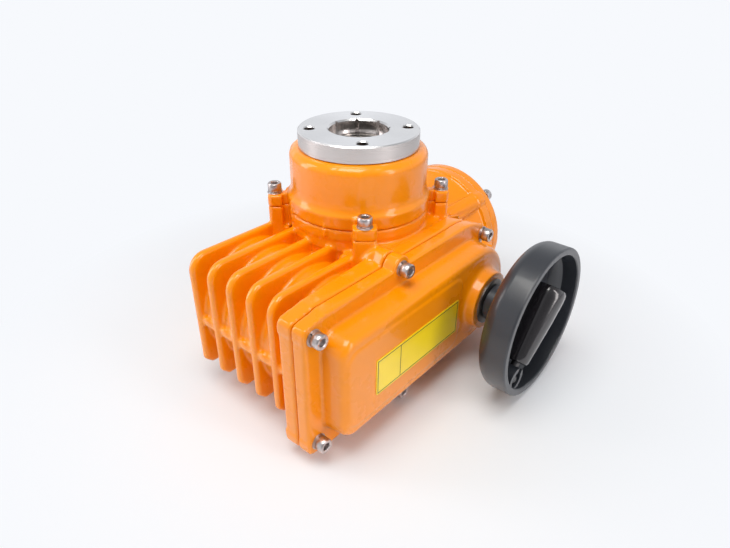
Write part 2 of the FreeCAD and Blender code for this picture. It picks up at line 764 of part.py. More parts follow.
def gear_cover():
    """The cover of the gear chamber, a drafted dome on a bolted flange, with the handwheel boss."""
    depth = D["cover_flange_x"] - JOINT_FACE_X
    dome = padded("dome", dome_outline(), D["dome_x"] - JOINT_FACE_X - 4,
                  (JOINT_FACE_X + 4, 0, 0), "yz", D["dome_draft"])
    doc.recompute()
    crown = soften("dome_crown", dome, D["dome_fillet"],
                   lambda middle, edge: abs(middle.x - D["dome_x"].number) < 0.01)
    inset = 6.2
    panel = rounded_box(D["dome_y"] + inset, CENTRE - 29, WORM_Y - 26, CENTRE + 29, 9)
    flange = padded("cover_flange", joint_outline(), depth, (JOINT_FACE_X, 0, 0))
    doc.recompute()
    rim = soften("cover_flange_rim", flange, D["joint_rounding"],
                 lambda middle, edge: abs(middle.x - D["cover_flange_x"].number) < 0.01)
    base = D["boss_radius"] + 7
    solids = [
        rim,
        crown,
        turned("boss_base", [
            (D["boss_radius"] - 2, D["dome_x"] - 1), (base, D["dome_x"] - 1), (base, D["dome_x"] + 0.6),
            (D["boss_radius"], D["dome_x"] + 3.4, as_size(-9)), (D["boss_radius"] - 2, D["dome_x"] + 3.4)],
            (0, WORM_Y, CENTRE), "+X"),
        padded("cover_panel", panel, 4, (D["dome_x"] + D["panel_proud"] - 4, 0, 0)),
        cone("cover_boss", D["boss_radius"] + 1.5, D["boss_radius"], D["boss_x"] - D["dome_x"] + 4,
             (D["dome_x"] - 4, WORM_Y, CENTRE), "+X"),
    ]
    for number, (y, z) in enumerate(COVER_BOLTS):
        solids.append(cylinder("cover_lobe_{}".format(number), D["lobe_radius"], depth, (JOINT_FACE_X, y, z), "+X"))
    casting = fuse("cover_casting", solids)
    tools = [
        padded("cover_hollow", dome_outline(D["cover_wall"]), D["dome_x"] - D["cover_wall"] - JOINT_FACE_X + 2,
               (JOINT_FACE_X - 2, 0, 0)),
        cylinder("cover_bore", D["boss_bore"], 40, (D["dome_x"] - 10, WORM_Y, CENTRE), "+X"),
    ]
    for number, (y, z) in enumerate(COVER_BOLTS):
        tools.append(cylinder("cover_hole_{}".format(number), D["screw_radius"] + D["hole_clearance"], 30,
                              (JOINT_FACE_X - 5, y, z), "+X"))
    sub_part("gear_cover", cut("cover_cut", casting, tools))


def cover_gasket():
    """The thin flat seal between the main housing and the gear cover."""
    outer = padded("gasket_sheet", joint_outline(3), D["gasket_thickness"], (D["joint_x"], 0, 0))
    tools = [padded("gasket_window", dome_outline(D["cover_wall"]), 10, (D["joint_x"] - 5, 0, 0))]
    for number, (y, z) in enumerate(COVER_BOLTS):
        tools.append(cylinder("gasket_hole_{}".format(number), D["screw_radius"] + D["hole_clearance"], 10,
                              (D["joint_x"] - 5, y, z), "+X"))
    sub_part("cover_gasket", cut("gasket_cut", outer, tools))


def screw(name, where, turn, grip):
    """A hexagon-socket cap screw whose head stands on the given point; its shank runs back by grip."""
    r = D["screw_radius"]
    head = D["screw_head_radius"]
    height = D["screw_head_height"]
    body = turned(name + "_blank", [
        (0, -grip), (r - 0.6, -grip), (r, -grip + 0.6), (r, 0), (head, 0), (head, height - 0.5),
        (head - 0.5, height), (0, height)], (0, 0, 0))
    key = prism(name + "_key", D["screw_socket"] / math.sqrt(3), 6, 6, (0, 0, height - 3))
    made = cut(name, body, [key])
    return place(made, where, turn)


def washer(name, where, turn):
    r = D["screw_radius"] + D["hole_clearance"]
    return place(turned(name, [(r, 0), (D["washer_radius"], 0), (D["washer_radius"], D["washer_thickness"]),
                               (r, D["washer_thickness"])], (0, 0, 0)), where, turn)


def screw_group(label, spots, turn, normal, grip):
    """Screws and their spring washers: one node for the screws and one for the washers."""
    screws = []
    washers = []
    for number, spot in enumerate(spots):
        lifted = [as_size(w) + D["washer_thickness"] * n for w, n in zip(spot, normal)]
        screws.append(screw("{}_{}".format(label, number), lifted, turn, grip))
        washers.append(washer("{}_washer_{}".format(label, number), spot, turn))
    sub_part(label, compound(label + "_set", screws))
    sub_part(label.replace("screws", "washers"), compound(label + "_washer_set", washers))


def compound(name, pieces):
    made = doc.addObject("Part::Compound", name)
    made.Links = pieces
    return made


def fasteners():
    screw_group("housing_screws", [(x, y, D["lug_seat_z"]) for x, y in LUGS], "+Z", (0, 0, 1), as_size(21))
    screw_group("cover_screws", [(D["cover_flange_x"], y, z) for y, z in COVER_BOLTS], "+X", (1, 0, 0),
                as_size(24))
    lid_face = D["disc_y"] + D["lid_thickness"]
    spots = []
    for degrees in DIAGONALS:
        x, z = on_circle(D["disc_bolt_radius"], degrees)
        spots.append((x, lid_face, CENTRE + z))
    screw_group("lid_screws", spots, "+Y", (0, 1, 0), as_size(20))
    for_window = []
    for number, degrees in enumerate(DIAGONALS):
        x, y = on_circle(D["window_ring_radius"] - 6, degrees)
        for_window.append(place(turned("window_screw_{}".format(number), [
            (0, 0), (3.4, 0), (3.4, 2), (2, 3), (2, 12), (0, 12)], (0, 0, 0)),
            (x, y, D["window_ring_z"] + 1.5)))
    sub_part("window_screws", compound("window_screw_set", for_window))


def gear_points(teeth, module, backlash):
    """Six points a tooth, from root to tip and back, with the flank bowed at the pitch circle."""
    pitch = module * teeth / 2
    middle = math.pi * module / 4 - backlash / 2
    levels = (
        (pitch - 1.2 * module, middle + 0.40 * module),
        (pitch, middle),
        (pitch + 0.95 * module, middle - 0.40 * module),
    )
    points = []
    for tooth in range(teeth):
        middle = 2 * math.pi * tooth / teeth
        left = [(radius, middle - half / radius) for radius, half in levels]
        right = [(radius, middle + half / radius) for radius, half in reversed(levels)]
        points += [V(radius * math.cos(a), radius * math.sin(a), 0) for radius, a in left + right]
    return points


def spur_gear(label, teeth, bore, y, phase):
    """A spur gear on an axis along X. Its teeth are set in code, because a sketch of each would be long."""
    module = D["gear_module"].number
    points = gear_points(int(D[teeth].number), module, D["gear_backlash"].number)
    width = D["gear_width"].number
    blank = Part.Face(Part.makePolygon(points + points[:1])).extrude(V(0, 0, width))
    blank = blank.cut(Part.makeCylinder(as_size(bore).number, width + 2, V(0, 0, -1)))
    made = doc.addObject("Part::Feature", label + "_teeth")
    made.Shape = blank
    turn = TURNS["+X"].multiply(FreeCAD.Rotation(V(0, 0, 1), phase))
    made.Placement = FreeCAD.Placement(V(D["gear_x"].number, as_size(y).number, CENTRE.number), turn)
    return made


def meshing_phase(teeth_before, phase_before, teeth):
    """The turn that puts a gear in mesh with the one before it, on its motor side."""
    share = ((90 - phase_before) * teeth_before / 360) % 1
    return 270 - ((0.5 - share) % 1) * 360 / teeth


def gear_train():
    """Motor pinion, two idlers on fixed pins, and the final gear on the worm shaft."""
    counts = [int(D[n].number) for n in ("pinion_teeth", "idler_teeth", "idler_teeth", "final_teeth")]
    phases = [90.0]
    for number in range(1, 4):
        phases.append(meshing_phase(counts[number - 1], phases[-1], counts[number]))
    idlers = idler_places()
    pin = D["idler_pin_radius"]
    width = D["gear_width"]
    gear_x = D["gear_x"]
    pinion_bore = D["rotor_shaft_radius"] + D["seat"]
    sub_part("motor_pinion", spur_gear("pinion", "pinion_teeth", pinion_bore, MOTOR_Y, phases[0]))
    for number, label in enumerate(("first_idler", "second_idler")):
        toothed = spur_gear(label, "idler_teeth", pin + D["running"], idlers[number], phases[number + 1])
        y = idlers[number]
        recess = [
            turned(label + "_recess_a", [(7, gear_x - 1), (15, gear_x - 1), (15, gear_x + 2.5),
                                         (7, gear_x + 2.5)],
                   (0, y, CENTRE), "+X"),
            turned(label + "_recess_b", [(7, gear_x + width - 2.5), (15, gear_x + width - 2.5),
                                         (15, gear_x + width + 1), (7, gear_x + width + 1)], (0, y, CENTRE), "+X"),
        ]
        sub_part(label, cut(label + "_gear", toothed, recess))
        far = D["dome_x"] - D["cover_wall"] - 0.3
        sub_part(label + "_pin", turned(label + "_axle", [
            (0, D["chamber_x"] - 9), (pin, D["chamber_x"] - 9), (pin, D["chamber_x"]), (7.5, D["chamber_x"]),
            (7.5, gear_x - 0.4), (pin, gear_x - 0.4), (pin, far - 0.5), (pin - 0.5, far), (0, far)],
            (0, y, CENTRE), "+X"))
        sub_part(label + "_clip", turned(label + "_ring", [
            (pin + D["seat"], gear_x + width + 0.4), (6.2, gear_x + width + 0.4), (6.2, gear_x + width + 1.6),
            (pin + D["seat"], gear_x + width + 1.6)], (0, y, CENTRE), "+X"))
    final = spur_gear("final", "final_teeth", D["shaft_radius"] + D["seat"], WORM_Y, phases[3])
    lightening = []
    for number in range(6):
        y, z = on_circle(15.5, 60 * number + 30)
        lightening.append(cylinder("final_hole_{}".format(number), 3.6, width + 4,
                                   (gear_x - 2, WORM_Y + y, CENTRE + z), "+X"))
    sub_part("final_gear", cut("final_gear_cut", final, lightening))


def worm_profile(module, backlash):
    """Half-widths of a 20 degree thread or tooth at its root, pitch line and tip."""
    lean = math.tan(math.radians(20))
    middle = math.pi * module / 4 - backlash / 2
    return (-1.2 * module, middle + 1.2 * module * lean), (0.95 * module, middle - 0.95 * module * lean)


def worm_shaft():
    """One shaft from the rear bearing to the handwheel, with a single-start right-hand thread on it."""
    module = D["gear_module"].number
    pitch_radius = D["worm_pitch_radius"].number
    lead = math.pi * module
    (root_at, root_half), (tip_at, tip_half) = worm_profile(module, D["worm_backlash"].number)
    length = D["worm_length"].number
    turns = math.floor(length / lead)
    span = turns * lead
    helix = Part.makeHelix(lead, span, pitch_radius)
    sink = 0.4
    outline = Part.makePolygon([
        V(pitch_radius + root_at - sink, 0, -root_half), V(pitch_radius + root_at - sink, 0, root_half),
        V(pitch_radius + tip_at, 0, tip_half), V(pitch_radius + tip_at, 0, -tip_half),
        V(pitch_radius + root_at - sink, 0, -root_half)])
    pipe = Part.BRepOffsetAPI.MakePipeShell(helix)
    pipe.setFrenetMode(True)
    pipe.add(outline)
    pipe.build()
    pipe.makeSolid()
    thread = doc.addObject("Part::Feature", "worm_thread")
    thread.Shape = pipe.shape()
    # the thread starts on the side away from the wheel, so a gap faces the wheel's first tooth
    turn = TURNS["+X"].multiply(FreeCAD.Rotation(V(0, 0, 1), 90))
    thread.Placement = FreeCAD.Placement(V(-span / 2, WORM_Y.number, CENTRE.number), turn)
    r = D["shaft_radius"]
    root = D["worm_pitch_radius"] + root_at
    half = D["worm_length"] / 2 + 3
    rear = worm_back()
    collar = worm_front() - 0.4
    tip = D["rim_back_x"] - 0.6
    shaft = turned("worm_blank", [
        (0, rear + 1), (r - 0.5, rear + 1), (r, rear + 1.5), (r, -half - 1), (root, -half), (root, half),
        (r + 2.5, half + 1), (r + 2.5, collar), (r, collar), (r, tip), (0, tip)],
        (0, WORM_Y, CENTRE), "+X")
    sub_part("worm_shaft", fuse("worm_solid", [shaft, thread]))


def worm_wheel():
    """A bronze wheel whose teeth lean by the worm's lead angle, on the output sleeve's stem."""
    module = D["gear_module"].number
    teeth = int(D["wheel_teeth"].number)
    pitch = module * teeth / 2
    width = D["wheel_width"].number
    (root_at, root_half), (tip_at, tip_half) = worm_profile(module, D["worm_backlash"].number)
    lean = math.degrees(math.atan(module / (2 * D["worm_pitch_radius"].number)))
    sink = 1.0
    outline = Part.makePolygon([
        V(pitch + root_at - sink, -root_half, 0), V(pitch + tip_at, -tip_half, 0),
        V(pitch + tip_at, tip_half, 0), V(pitch + root_at - sink, root_half, 0),
        V(pitch + root_at - sink, -root_half, 0)])
    tooth = Part.Face(outline).extrude(V(0, 0, width + 4))
    tooth.translate(V(0, 0, -width / 2 - 2))
    tooth.rotate(V(0, 0, 0), V(1, 0, 0), -lean)
    # each tooth is trimmed flush with the wheel's two faces
    slab = Part.makeBox(4 * pitch, 4 * pitch, width, V(-2 * pitch, -2 * pitch, -width / 2))
    tooth = tooth.common(slab)
    body = Part.makeCylinder(pitch + root_at, width, V(0, 0, -width / 2))
    blades = []
    for number in range(teeth):
        blade = tooth.copy()
        blade.rotate(V(0, 0, 0), V(0, 0, 1), 90 + number * 360 / teeth)
        blades.append(blade)
    body = body.multiFuse(blades).removeSplitter()
    made = doc.addObject("Part::Feature", "wheel_teeth")
    made.Shape = body
    made.Placement = FreeCAD.Placement(V(0, 0, CENTRE.number), FreeCAD.Rotation())
    bore = cylinder("wheel_bore", D["stem_radius"] + D["seat"], 60, (0, 0, CENTRE - 30))
    half = D["wheel_width"] / 2
    hub = turned("wheel_hub", [
        (D["stem_radius"] + D["seat"], half - 1), (18.5, half - 1), (18.5, half + 4),
        (D["stem_radius"] + D["seat"], half + 4)], (0, 0, CENTRE))
    keyway = block("wheel_keyway", (D["stem_radius"] - 3, -2.5 - D["seat"], CENTRE - 30),
                   (D["stem_radius"] + 2.2, 2.5 + D["seat"], CENTRE + 30))
    sub_part("worm_wheel", cut("wheel_cut", fuse("wheel_solid", [made, hub]), [bore, keyway]))
    sub_part("wheel_key", block("wheel_key_bar", (D["stem_radius"] - 2.5, -2.5, CENTRE - half),
                                (D["stem_radius"] + 2, 2.5, CENTRE + half)))


def output_sleeve():
    """The driven sleeve: a double-square socket above, the worm wheel's stem and the indicator tail."""
    r = D["sleeve_radius"]
    stem = D["stem_radius"]
    tail = D["tail_radius"]
    top = D["sleeve_top_z"]
    bottom = D["socket_bottom_z"]
    end = D["barrel_bottom_z"] - 1
    blank = turned("sleeve_blank", [
        (0, end), (tail, end), (tail, D["floor_top_z"] + 3.3), (stem, D["floor_top_z"] + 3.3),
        (stem, CENTRE + 12), (stem + 4, CENTRE + 12), (stem + 4, bottom - 8), (r, bottom - 3), (r, top - 0.8),
        (r - 0.8, top), (0, top)], (0, 0, 0))
    tools = star_tools("socket", D["socket_square"], bottom, top - bottom + 2)
    tools.append(block("sleeve_keyway", (stem - 2.5, -2.5 - D["seat"], CENTRE - D["wheel_width"] / 2 - 0.2),
                       (stem + 4, 2.5 + D["seat"], CENTRE + D["wheel_width"] / 2 + 0.2)))
    sub_part("output_sleeve", cut("sleeve_cut", blank, tools))
    z = CENTRE - D["wheel_width"] / 2 - 0.5
    sub_part("wheel_clip", turned("wheel_clip_ring", [
        (stem + D["seat"], z - 1.5), (stem + 2.5, z - 1.5), (stem + 2.5, z), (stem + D["seat"], z)], (0, 0, 0)))
    cam_z = CENTRE - 25
    for label, low, degrees in (("open_cam", cam_z - 5, 0), ("closed_cam", cam_z, 90)):
        ring = turned(label + "_ring", [(stem + D["seat"], 0), (18.5, 0), (18.5, 4.2), (stem + D["seat"], 4.2)],
                      (0, 0, low))
        flat = block(label + "_flat", (16, -20, low - 1), (30, 20, low + 6))
        shaped = cut(label + "_shape", ring, [flat])
        shaped.Placement = FreeCAD.Placement(V(0, 0, 0), FreeCAD.Rotation(V(0, 0, 1), degrees))
        sub_part(label, shaped)


def bearing(label, bore, outer, width, where, turn):
    """A sealed ball bearing, with its two rings shown by a groove on each side."""
    inner_edge = bore + (outer - bore) * 0.3
    outer_edge = bore + (outer - bore) * 0.72
    groove = 0.7
    sub_part(label, turned(label + "_rings", [
        (bore, 0), (inner_edge, 0), (inner_edge, groove), (outer_edge, groove), (outer_edge, 0), (outer, 0),
        (outer, width), (outer_edge, width), (outer_edge, width - groove), (inner_edge, width - groove),
        (inner_edge, width), (bore, width)], where, turn))


def bell_face():
    """The outer face of the motor's end bell, short of the gear chamber."""
    return D["chamber_x"] - 7


def worm_back():
    """Where the rear worm bearing's seat ends, inside the tunnel's end wall."""
    return D["tunnel_end_x"] + 11


def worm_front():
    """Where the front worm bearing starts, at the gear chamber's wall."""
    return D["chamber_x"] - 5 - D["bearing_width"]


def bearings():
    shaft = D["rotor_shaft_radius"] + D["running"]
    worm = D["shaft_radius"] + D["running"]
    outer = D["bearing_radius"]
    front = bell_face()
    bearing("motor_rear_bearing", shaft, outer, as_size(7), (D["motor_back_x"] - 7, MOTOR_Y, CENTRE), "+X")
    bearing("motor_front_bearing", shaft, outer, as_size(7), (front - 9, MOTOR_Y, CENTRE), "+X")
    width = D["bearing_width"]
    bearing("worm_rear_bearing", worm, outer, width, (worm_back(), WORM_Y, CENTRE), "+X")
    bearing("worm_front_bearing", worm, D["tunnel_bore"] - D["seat"], width,
            (worm_front(), WORM_Y, CENTRE), "+X")
    bore = D["tail_radius"] + D["running"]
    outer = D["tail_radius"] + 4 - D["seat"]
    low = D["barrel_bottom_z"]
    floor = D["floor_top_z"]
    sub_part("lower_bush", turned("lower_bush_ring", [
        (bore, low), (outer, low), (outer, floor), (outer + 5, floor), (outer + 5, floor + 3), (bore, floor + 3)],
        (0, 0, 0)))
    start = D["dome_x"] - D["cover_wall"] - 2
    sub_part("cover_bush", turned("cover_bush_ring", [
        (worm, start), (D["boss_bore"] - D["seat"], start), (D["boss_bore"] - D["seat"], D["boss_x"]),
        (worm, D["boss_x"])], (0, WORM_Y, CENTRE), "+X"))
    lip = D["boss_x"]
    face = lip + D["retainer_thickness"]
    rim = D["boss_radius"] - 4.9
    sub_part("seal_retainer", turned("seal_ring", [
        (D["shaft_radius"] + 0.4, lip), (rim, lip), (rim, face - 0.6), (rim - 0.8, face),
        (D["shaft_radius"] + 0.4, face)], (0, WORM_Y, CENTRE), "+X"))


def motor():
    """Stator, squirrel-cage rotor on its shaft, and the end bell that carries the front bearing."""
    bore = D["motor_bore"] - D["seat"]
    x = D["motor_back_x"]
    inner = D["rotor_radius"] + D["air_gap"]
    winding = bore - 3
    end = x + D["motor_length"]
    coil = [(inner, x + 2), (winding, x + 2), (winding, x + 10), (bore, x + 10), (bore, end - 8),
            (winding, end - 8), (winding, end), (inner, end)]
    sub_part("motor_stator", turned("stator_ring", coil, (0, MOTOR_Y, CENTRE), "+X"))
    shaft = D["rotor_shaft_radius"]
    face = bell_face()
    tip = D["gear_x"] + D["gear_width"] + 4
    core = D["rotor_radius"]
    sub_part("motor_rotor", turned("rotor_solid", [
        (0, x - 6.5), (shaft, x - 6.5), (shaft, x + 1), (shaft + 3, x + 1), (shaft + 3, x + 10), (core, x + 10),
        (core, end - 8), (shaft + 3, end - 8), (shaft + 3, face - 12.4), (shaft, face - 12.4), (shaft, tip),
        (shaft - 0.6, tip + 0.6), (0, tip + 0.6)], (0, MOTOR_Y, CENTRE), "+X"))
    seat = D["bearing_radius"] + D["seat"]
    sub_part("motor_end_bell", turned("bell_disc", [
        (shaft + 2.5, face - 11.5), (bore, face - 11.5), (bore, face), (seat + 3, face), (seat + 3, face + 2),
        (seat, face + 2), (seat, face - 9), (shaft + 2.5, face - 9)], (0, MOTOR_Y, CENTRE), "+X"))


def handwheel():
    """A dished wheel with a rounded rim, and the boss in which its handle folds."""
    rim = D["rim_radius"]
    front = D["rim_front_x"]
    back = D["rim_back_x"]
    dish = D["dish_x"]
    inner = rim - D["rim_wall"]
    hub = D["hub_radius"]
    bore = D["shaft_radius"] + D["seat"]
    dish_round = 6
    back_round = 9
    wheel = turned("wheel_turning", [
        (bore, D["hub_x"]), (hub, D["hub_x"]), (hub, back - 3), (hub + 5, back - 0.6),
        (rim - back_round, back - 0.6), (rim, back - 0.6 + back_round, back_round),
        (rim, front - 1.4), (rim - 1.4, front, 1.4), (inner + 1.2, front),
        (inner, front - 1.2, 1.2), (inner - 0.6, dish + dish_round), (inner - 0.6 - dish_round, dish),
        (10.4, dish), (10.4, back - 0.5), (bore, back - 0.5)], (0, WORM_Y, CENTRE), "+X")
    turn = handle_turn()
    reach = D["pivot_reach"].number
    u = turn.multVec(V(0, 0, 1))
    boss_at = (WORM_Y - reach * u.y, CENTRE - reach * u.z)
    boss = cylinder("pivot_boss", D["pivot_boss_radius"], D["pivot_boss_x"] - dish + 0.4,
                    (dish - 0.4, boss_at[0], boss_at[1]), "+X")
    pivot = (D["pivot_x"], boss_at[0], boss_at[1])
    depth = D["pivot_x"] - 7.6
    slot_height = D["spindle_radius"] * 2 + 0.9
    slot_turn = FreeCAD.Rotation(V(1, 0, 0), u, V(0, 0, 0), "XYZ")
    down = slot_turn.multVec(V(0, 0, -slot_height.number / 2))
    slot = doc.addObject("Part::Box", "pivot_slot")
    for prop, size in (("Length", 30), ("Width", 14), ("Height", slot_height)):
        bind(slot, prop, size)
    place(slot, (depth, boss_at[0] + down.y, boss_at[1] + down.z), slot_turn)
    across = turn.multVec(V(0, 1, 0))
    pin_turn = turn.multiply(FreeCAD.Rotation(V(1, 0, 0), -90))
    reach_pin = 8.6
    pin_start = [as_size(p) - across_part * reach_pin for p, across_part in
                 zip(pivot, (across.x, across.y, across.z))]
    tools = [cylinder("pivot_hole", D["pivot_hole_radius"], 30, (depth, boss_at[0], boss_at[1]), "+X"), slot,
             cylinder("pin_hole", D["pin_radius"] + D["seat"], reach_pin * 2, pin_start, pin_turn)]
    trimmed = cut("boss_open", boss, [cylinder("boss_trim", 100, 60, (front - 2, WORM_Y, CENTRE), "+X")])
    sub_part("handwheel", cut("wheel_open", fuse("wheel_with_boss", [wheel, trimmed]), tools))
    sub_part("handle_pin", cylinder("handle_pin_rod", D["pin_radius"], reach_pin * 2, pin_start, pin_turn))
    nut = prism("wheel_nut_hex", 9.4, 6, 3.6, (back - 0.5, WORM_Y, CENTRE), "+X")
    sub_part("wheel_nut", nut)
    eye = cylinder("eye", 4.8, 5.6, [as_size(p) - a * 2.8 for p, a in zip(pivot, across)], pin_turn)
    spindle = turned("spindle", [
        (0, 0), (D["spindle_radius"], 0), (D["spindle_radius"], D["grip_start"] + D["grip_length"] - 2.6),
        (4.5, D["grip_start"] + D["grip_length"] - 2.6), (4.5, D["grip_start"] + D["grip_length"] - 1),
        (3.9, D["grip_start"] + D["grip_length"] - 0.4), (0, D["grip_start"] + D["grip_length"] - 0.4)],
        pivot, turn)
    eye_hole = cylinder("eye_hole", D["pin_radius"] + D["running"], 20,
                        [as_size(p) - a * 10 for p, a in zip(pivot, across)], pin_turn)
    sub_part("handle_arm", cut("arm_cut", fuse("arm_solid", [eye, spindle]), [eye_hole]))
    start = D["grip_start"]
    end = start + D["grip_length"]
    small = D["grip_small"]
    large = D["grip_large"]
    bore = D["spindle_radius"] + D["running"]
    sub_part("handle_grip", turned("grip_turning", [
        (bore, start), (small - 1, start), (small, start + 1, 1), (small + 1.1, start + 18), (large, end - 17),
        (large, end - 2), (large - 2, end, 2), (4.9, end), (4.9, end - 3), (bore, end - 3)], pivot, turn))


def handle_turn():
    """The turn that points a piece's own Z axis along the folded handle."""
    lean = math.radians(D["handle_angle"].number)
    return FreeCAD.Rotation(V(0, 0, 1), V(0, math.cos(lean), math.sin(lean)))


def terminal_cover():
    """The round lid of the terminal compartment, with a spigot and a shallow dome."""
    t = D["lid_thickness"]
    dome = D["lid_dome"]
    r = D["disc_radius"]
    spigot = D["bay_bore"] - D["seat"] * 3
    lid = turned("lid_turning", [
        (spigot - 4, -5), (spigot, -5), (spigot, 0), (r, 0), (r, t - 1), (r - 1, t),
        (D["lid_dome_radius"] + 3, t),
        (D["lid_dome_radius"], t + 3), (D["lid_dome_radius"] - 1, t + dome - 4),
        (D["lid_dome_radius"] - 5, t + dome), (0, t + dome), (0, t + dome - 5), (spigot - 4, t + dome - 5)],
        (0, D["disc_y"], CENTRE), "+Y")
    tools = []
    for number, degrees in enumerate(DIAGONALS):
        x, z = on_circle(D["disc_bolt_radius"], degrees)
        tools.append(cylinder("lid_hole_{}".format(number), D["screw_radius"] + D["hole_clearance"], 30,
                              (x, D["disc_y"] - 5, CENTRE + z), "+Y"))
    sub_part("terminal_cover", cut("lid_cut", lid, tools))


def bay_contents():
    """Terminal block, motor capacitor and control board, seated on the compartment's floor."""
    floor = D["bay_floor_y"]
    base = block("terminal_base", (-27, floor, CENTRE - 14), (27, floor + 10, CENTRE + 6))
    ridge = block("terminal_ridge", (-27, floor + 10, CENTRE - 8), (27, floor + 17, CENTRE))
    slots = [block("terminal_slot_{}".format(n), (-23.5 + 9 * n, floor + 6, CENTRE - 30),
                   (-20.5 + 9 * n, floor + 30, CENTRE + 30)) for n in range(6)]
    wells = [cylinder("terminal_well_{}".format(n), 1.8, 20, (-26 + 9 * n + 8.5, floor + 5, CENTRE - 4), "+Y")
             for n in range(5)]
    sub_part("terminal_block", cut("terminal_cut", fuse("terminal_solid", [base, ridge]), slots + wells))
    sub_part("motor_capacitor", turned("capacitor_can", [
        (0, 0), (8.6, 0), (9, 0.4), (9, 38), (8, 39), (0, 39)], (0, floor, CENTRE - 25), "+Y"))
    board = block("control_board_sheet", (-26, floor + 5, CENTRE + 10), (26, floor + 6.6, CENTRE + 27))
    relays = [block("relay_{}".format(n), (-23 + 17 * n, floor + 6.6, CENTRE + 13),
                    (-11 + 17 * n, floor + 16, CENTRE + 24)) for n in range(3)]
    posts = [cylinder("board_post_{}".format(n), 2, 5, (x, floor, CENTRE + 18), "+Y")
             for n, x in enumerate((-24, 24))]
    sub_part("control_board", fuse("board_solid", [board] + relays + posts))
    for number, label in enumerate(("first_entry_plug", "second_entry_plug")):
        y = D["entry_first_y"] + D["entry_pitch"] * number
        x = -(D["bay_radius"] + 6)
        thread = D["entry_radius"] - D["seat"]
        stem = turned(label + "_stem", [(0, 0), (thread, 0), (thread, 9),
                                        (D["entry_radius"] - 1, 10), (0, 10)], (x, y, CENTRE), "+X")
        head = prism(label + "_head", D["plug_radius"], 6, 6, (x, y, CENTRE), "-X")
        key = prism(label + "_key", 5.5, 6, 4, (x - 2, y, CENTRE), "-X")
        sub_part(label, cut(label + "_cut", fuse(label + "_solid", [stem, head]), [key]))


def limit_switches():
    """Two limit switches on a bracket beside the cams."""
    floor = D["floor_top_z"]
    sub_part("switch_bracket", fuse("bracket_solid", [
        block("bracket_foot", (-38, -10, floor), (-22.6, 10, floor + 2)),
        block("bracket_wall", (-38, -10, floor + 2), (-36, 10, floor + 18))]))
    for label, low in (("open_switch", floor + 5.6), ("closed_switch", floor + 11.4)):
        body = block(label + "_body", (-36, -8, low), (-25, 8, low + 5))
        lever = block(label + "_lever", (-25, -7, low + 1.4), (-24.4, 6, low + 3.6))
        roller = cylinder(label + "_roller", 2.2, 2.2, (-22.6, 6, low + 1.4))
        sub_part(label, fuse(label + "_solid", [body, lever, roller]))


def indicator():
    """The position window opposite the mounting face: ring, glass, clamp ring and turning dial."""
    low = D["window_ring_z"]
    top = D["barrel_bottom_z"]
    r = D["window_ring_radius"]
    glass = D["window_radius"]
    seat = low + 4
    upper = seat + D["glass_thickness"]
    ring = turned("window_turning", [
        (glass - 3, low + 1), (glass - 2, low), (r - 1.5, low), (r, low + 1.5), (r, top), (glass + 0.4, top),
        (glass + 0.4, seat), (glass - 3, seat)], (0, 0, 0))
    tools = []
    for number, degrees in enumerate(DIAGONALS):
        x, y = on_circle(r - 6, degrees)
        tools.append(cylinder("window_sink_{}".format(number), 3.7, 4.6, (x, y, low)))
        tools.append(cylinder("window_pass_{}".format(number), 2.3, 20, (x, y, low)))
    sub_part("window_ring", cut("window_cut", ring, tools))
    sub_part("window_glass", turned("glass_disc", [(0, seat), (glass, seat), (glass, upper), (0, upper)],
                                    (0, 0, 0)))
    sub_part("glass_clamp", turned("clamp_ring", [
        (glass - 3, upper), (glass + 0.35, upper), (glass + 0.35, top), (glass - 3, top)], (0, 0, 0)))
    tail_end = D["barrel_bottom_z"] - 1
    edge = D["dial_radius"]
    dial = turned("dial_disc", [(0, tail_end - 1.5), (edge, tail_end - 1.5), (edge, tail_end), (0, tail_end)],
                  (0, 0, 0))
    bar_mark = block("dial_pointer", (-20, -2.5, tail_end - 2.1), (20, 2.5, tail_end - 1.5))
    sub_part("indicator_dial", fuse("dial_solid", [dial, bar_mark]))


def yellow_plate():
    """A thin blank plate on the cover's panel."""
    face = D["dome_x"] + D["panel_proud"]
    plate = rounded_box(-88, CENTRE - 16, 4, CENTRE + 12, 1.5)
    sub_part("side_plate", padded("plate_sheet", plate, 0.5, (face, 0, 0)))


def build():
    mounting_flange()
    output_housing()
    upper_bush()
    main_housing()
    gear_cover()
    cover_gasket()
    fasteners()
    gear_train()
    worm_shaft()
    worm_wheel()
    output_sleeve()
    bearings()
    motor()
    handwheel()
    terminal_cover()
    bay_contents()
    limit_switches()
    indicator()
    yellow_plate()
    doc.recompute()


def check_and_write():
    """Stops on any failed object or bad shape, then writes one file for each sub-part."""
    for thing in doc.Objects:
        for bad in ("Invalid", "Error"):
            if bad in thing.State:
                raise RuntimeError("{} is {}".format(thing.Name, bad))
    os.makedirs("parts", exist_ok=True)
    for thing in sub_parts:
        shape = thing.Shape
        if shape.isNull() or not shape.isValid() or not shape.Solids:
            raise RuntimeError("{} has no valid shape".format(thing.Label))
        shape.exportStep("parts/{}.step".format(thing.Label))
        print("{:22} {:2} solids {:12.1f} mm3".format(thing.Label, len(shape.Solids), shape.Volume))
    print(len(sub_parts), "nodes")


build()
check_and_write()
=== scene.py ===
import json
import math

import bpy
import bmesh
from mathutils import Matrix, Vector


